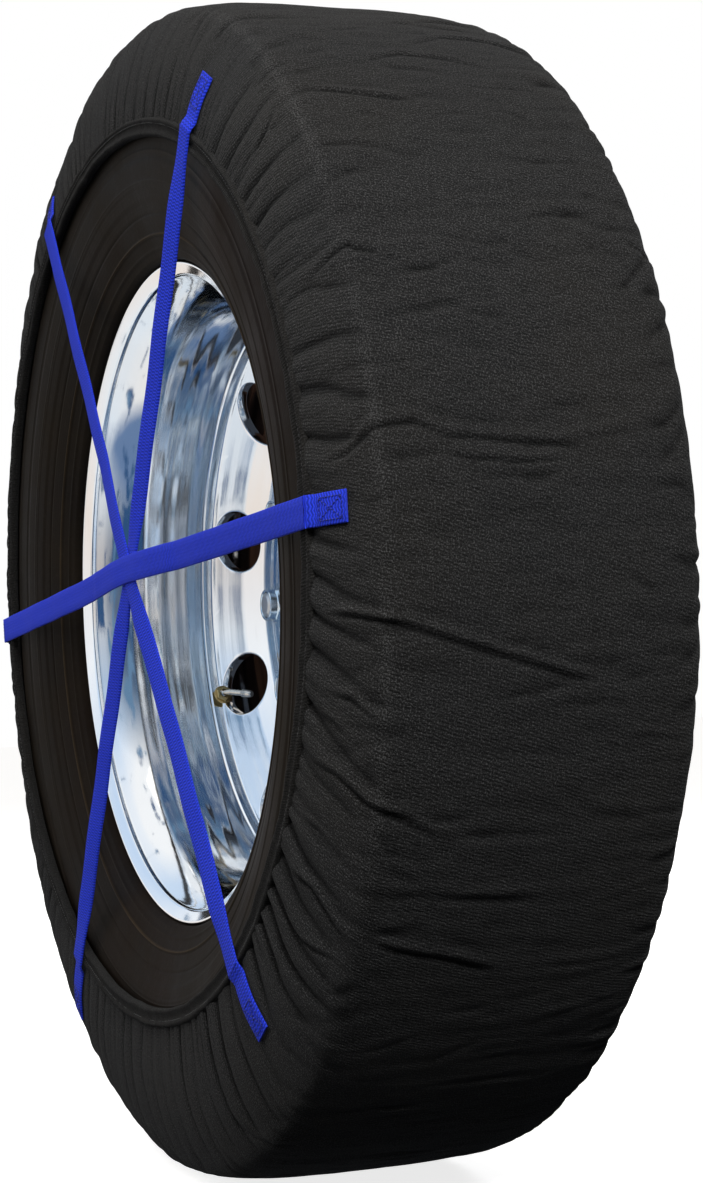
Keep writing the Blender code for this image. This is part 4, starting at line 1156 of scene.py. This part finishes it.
def strap_line(name, layer):
    """The strap's underside as a dense line of points, and how far each is along it."""
    crossing = Vector((STRAP_CROSSING[0], 0.0, STRAP_CROSSING[1]))
    ends = [polar(radius, math.radians(degrees), 0.0) for degrees, radius in STRAP_ENDS[name]]
    stops = []
    for point in strap_way(ends[0], crossing) + [crossing] + strap_way(ends[1], crossing)[::-1]:
        low = strap_height(layer, point.length, edge_radius_at(point.x, point.z), (point - crossing).length)
        stops.append((point.x, -low, point.z))
    dense = smooth_line(stops, 14)
    far = np.concatenate([[0.0], np.cumsum(np.linalg.norm(np.diff(dense, axis=0), axis=1))])
    even = np.linspace(0.0, far[-1], int(far[-1] / STRAP_STEP))
    return np.stack([np.interp(even, far, dense[:, k]) for k in range(3)], -1), even


def make_strap(name, layer):
    """Sewn webbing: flat on the cloth at its ends, over the hem, straight across with a slight twist."""
    line, far = strap_line(name, layer)
    points, u, v, frames = [], [], [], []
    for i, point in enumerate(line):
        along = Vector(line[min(i + 1, len(line) - 1)] - line[max(i - 1, 0)]).normalized()
        across = along.cross(Vector((0.0, 1.0, 0.0))).normalized()
        up = along.cross(across).normalized()
        from_crossing = math.hypot(point[0] - STRAP_CROSSING[0], point[2] - STRAP_CROSSING[1])
        from_hem = edge_radius_at(point[0], point[2]) - 0.016 - math.hypot(point[0], point[2])
        free = min(max((from_crossing - 0.018) / 0.05, 0.0), 1.0) * min(max(from_hem / 0.05, 0.0), 1.0)
        free = eased(free)
        half = 0 if far[i] < far[-1] / 2 else 1
        toward = Matrix.Rotation(math.radians(STRAP_TWIST[name][half]) * free, 3, along)
        a, b = toward @ across, toward @ up
        flutter = 0.0004 * math.sin(far[i] * 61.0 + layer * 2.0) * free
        frames.append((Vector(point), along, a, b))
        for share, rise in STRAP_SECTION:
            points.append(Vector(point) + a * (share * STRAP_WIDTH) + b * (rise * STRAP_THICKNESS + flutter))
            u.append(share * STRAP_WIDTH + 0.05 + (0.03 if rise == 0.0 else 0.0))
            v.append(far[i])
    count = len(STRAP_SECTION)
    faces = [*ring_faces(len(line), count, False), range(count), range(len(points) - count, len(points))[::-1]]
    strap = make_object(f"{name}_webbing", points, faces, LOOKS["webbing"], 50.0)
    strap.visible_glossy = False
    weave_map(strap, u, v, 10.0)
    finish_piece(strap, "webbing", name)
    places = box_stitch(frames, 0, 1) + box_stitch(frames, len(line) - 1, -1)
    stitches = stitch_row(f"{name}_stitches", "webbing", places, 0.0026, 0.0008, "blue_thread")


def box_stitch(frames, tip, way):
    """A sewn box with a cross in it, 17 mm by 25 mm, on the strap's end."""
    half, low, high = 0.0085, 0.004, 0.029
    corners = [(-half, low), (half, low), (half, high), (-half, high)]
    legs = list(zip(corners, corners[1:] + corners[:1])) + [(corners[0], corners[2]), (corners[1], corners[3])]
    places = []
    for (a0, b0), (a1, b1) in legs:
        count = max(3, int(math.hypot(a1 - a0, b1 - b0) / 0.0034))
        for k in range(count):
            share = (k + 0.5) / count
            across, down = a0 + (a1 - a0) * share, b0 + (b1 - b0) * share
            spot = min(int(round(down / STRAP_STEP)), len(frames) - 1)
            point, along, side, up = frames[tip + way * spot]
            middle = point + side * across + up * (STRAP_THICKNESS * 1.02 + 0.0001)
            middle += along * way * (down - spot * STRAP_STEP)
            direction = (side * (a1 - a0) + along * way * (b1 - b0)).normalized()
            places.append((middle, direction, up))
    return places


# The stage, the lights and the camera.

WORLD_DIFFUSE = 0.30
FLOOR_GLOW = 0.80
FLOOR_SIZE = 14.0


def camera_at_photo():
    """The camera that the rim's ellipse and the outline were fitted with, on an upright 703 by 1183 frame."""
    azimuth, elevation, roll = (math.radians(v) for v in (69.3924, -1.6288, -1.8871))
    distance, aim_x, aim_z = 2.4308, 0.0523, -0.0029
    level = Vector((math.cos(azimuth), math.sin(azimuth), 0.0))
    flat = math.cos(elevation)
    toward = Vector((math.sin(azimuth) * flat, -math.cos(azimuth) * flat, math.sin(elevation)))
    where = toward * distance
    back = (where - (level * aim_x + toward.cross(level) * aim_z)).normalized()
    right = Vector((0.0, 0.0, 1.0)).cross(back).normalized()
    up = back.cross(right)
    right, up = math.cos(roll) * right + math.sin(roll) * up, math.cos(roll) * up - math.sin(roll) * right
    data = bpy.data.cameras.new("camera")
    data.sensor_width = 36.0
    data.lens = 2633.36 / 1183 * 36.0
    data.clip_start, data.clip_end = 0.05, 60.0
    camera = link_object("camera", data)
    camera.matrix_world = Matrix.Translation(where) @ Matrix((right, up, back)).transposed().to_4x4()
    bpy.context.scene.camera = camera


def area_light(name, place, target, size, power, color):
    data = bpy.data.lights.new(name, "AREA")
    data.shape = "RECTANGLE"
    data.size, data.size_y = size
    data.energy = power
    data.color = color
    light = link_object(name, data)
    light.location = place
    light.rotation_euler = (Vector(target) - Vector(place)).to_track_quat("-Z", "Y").to_euler()
    return light


def make_stage(floor_z):
    look = Look("pale_floor", (0.86, 0.86, 0.86), 0.9, Specular_IOR_Level=0.0, Emission_Color=(1.0, 1.0, 1.0),
                Emission_Strength=FLOOR_GLOW)
    grain = look.span(look.noise(look.place(), 3.0), 0.3, 0.7)
    paint = look.set(Base_Color=look.mix(grain, (0.84, 0.84, 0.835), (0.87, 0.87, 0.87)))
    corners = [(x * FLOOR_SIZE, y * FLOOR_SIZE, floor_z) for x, y in ((-1, -1), (1, -1), (1, 1), (-1, 1))]
    floor = make_object("floor", corners, [(0, 1, 2, 3)], paint, outward=False)
    floor.visible_diffuse = False
    floor.visible_glossy = False


def make_world():
    """A pale surround, dark below and behind. Metal mirrors one of its own, with dark blue flags on the +X side."""
    world = bpy.data.worlds.new("surround")
    bpy.context.scene.world = world
    world.use_nodes = True
    sky = Graph(world.node_tree)
    place = sky.value("TexCoord", out="Generated")
    x, y, z = sky.parts(place)
    level = sky.span(z, -1.0, 1.0)
    soft = sky.ramp(level, ((0.0, (0.01, 0.01, 0.01)), (0.45, (0.04, 0.04, 0.04)), (0.62, (0.56, 0.54, 0.52)),
                            (1.0, (0.86, 0.80, 0.73))))
    mirrored = sky.ramp(level, ((0.0, (0.92, 0.88, 0.84)), (0.14, (0.80, 0.85, 0.90)), (0.30, (0.90, 0.91, 0.92)),
                                (0.42, (0.90, 0.80, 0.72)), (0.50, (0.92, 0.88, 0.86)), (0.58, (0.96, 0.98, 1.0)),
                                (0.70, (0.60, 0.74, 0.93)), (0.82, (0.64, 0.77, 0.94)), (0.93, (1.0, 1.0, 1.0))))
    toward_x = sky.span(x, 0.28, 0.80)
    tall = sky.stretched(place, (1.0, 1.0, 0.45))
    flags = sky.noise(tall, 4.4, 5.0, 0.62, 0.7)
    cover = sky.span(flags - sky.span(toward_x, 0.0, 1.0, 0.61, 0.46), 0.0, 0.05)
    grey = sky.span(sky.noise(tall, 2.1), 0.50, 0.56)
    brink = sky.span(x, 0.94, 0.99, 1.0, 0.0)
    mirrored = sky.mix(toward_x * brink, mirrored, sky.mix(0.95, mirrored, (0.060, 0.105, 0.18)))
    under = sky.span(level, 0.26, 0.14) * sky.span(x, 0.06, 0.24)
    mirrored = sky.mix(under, mirrored, (0.14, 0.22, 0.38))
    mirrored = sky.mix(cover, mirrored, sky.mix(grey, (0.030, 0.085, 0.20), (0.13, 0.24, 0.38)))
    behind = sky.span(y, -0.02, 0.30)
    mirrored = sky.mix(behind, mirrored, (0.035, 0.04, 0.05))
    soft = sky.mix(behind, soft, sky.mix(0.7, soft, (0.05, 0.05, 0.05)))
    camera, glossy, diffuse = (sky.value("LightPath", out=f"Is {ray} Ray") for ray in ("Camera", "Glossy", "Diffuse"))
    seen = sky.mix(camera, sky.mix(glossy, soft, mirrored), (1.0, 1.0, 1.0))
    background = world.node_tree.nodes["Background"]
    sky.fill(background.inputs[0], seen)
    sky.fill(background.inputs[1], sky.span(diffuse, 0.0, 1.0, 1.0, WORLD_DIFFUSE))


def make_lights():
    """Soft boxes, of which metal mirrors only the top one."""
    for name, place, target, size, power, color in (
        ("key", (2.0, -2.6, 3.0), (0.0, 0.0, 0.0), (2.4, 1.6), 44.0, (1.0, 0.97, 0.93)),
        ("side", (3.5, -0.5, 2.2), (0.0, 0.0, 0.25), (1.2, 1.2), 108.0, (0.99, 1.0, 1.0)),
        ("rear", (-2.4, 3.2, 2.2), (0.0, 0.2, 0.0), (2.0, 1.6), 80.0, (0.97, 0.98, 1.0)),
        ("face", (-1.4, -3.2, 0.9), (0.0, 0.0, 0.0), (1.6, 2.0), 33.0, (0.97, 0.98, 1.0)),
        ("top", (0.3, 0.4, 3.6), (0.0, 0.0, 0.0), (2.6, 2.6), 12.0, (1.0, 0.90, 0.78)),
    ):
        area_light(name, place, target, size, power, color).visible_glossy = name == "top"
    bpy.context.scene.view_settings.view_transform = "Standard"


# Build.

make_wheel()
make_nuts_and_studs()
make_hub_parts()
make_valve()
make_tyre()
panels = make_sock()
hem, elastic, hem_stitches = make_hems()
for order, strap_name in enumerate(STRAP_ENDS):
    make_strap(strap_name, order)
low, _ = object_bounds()
make_stage(low.z - 0.0005)
make_world()
make_lights()
camera_at_photo()
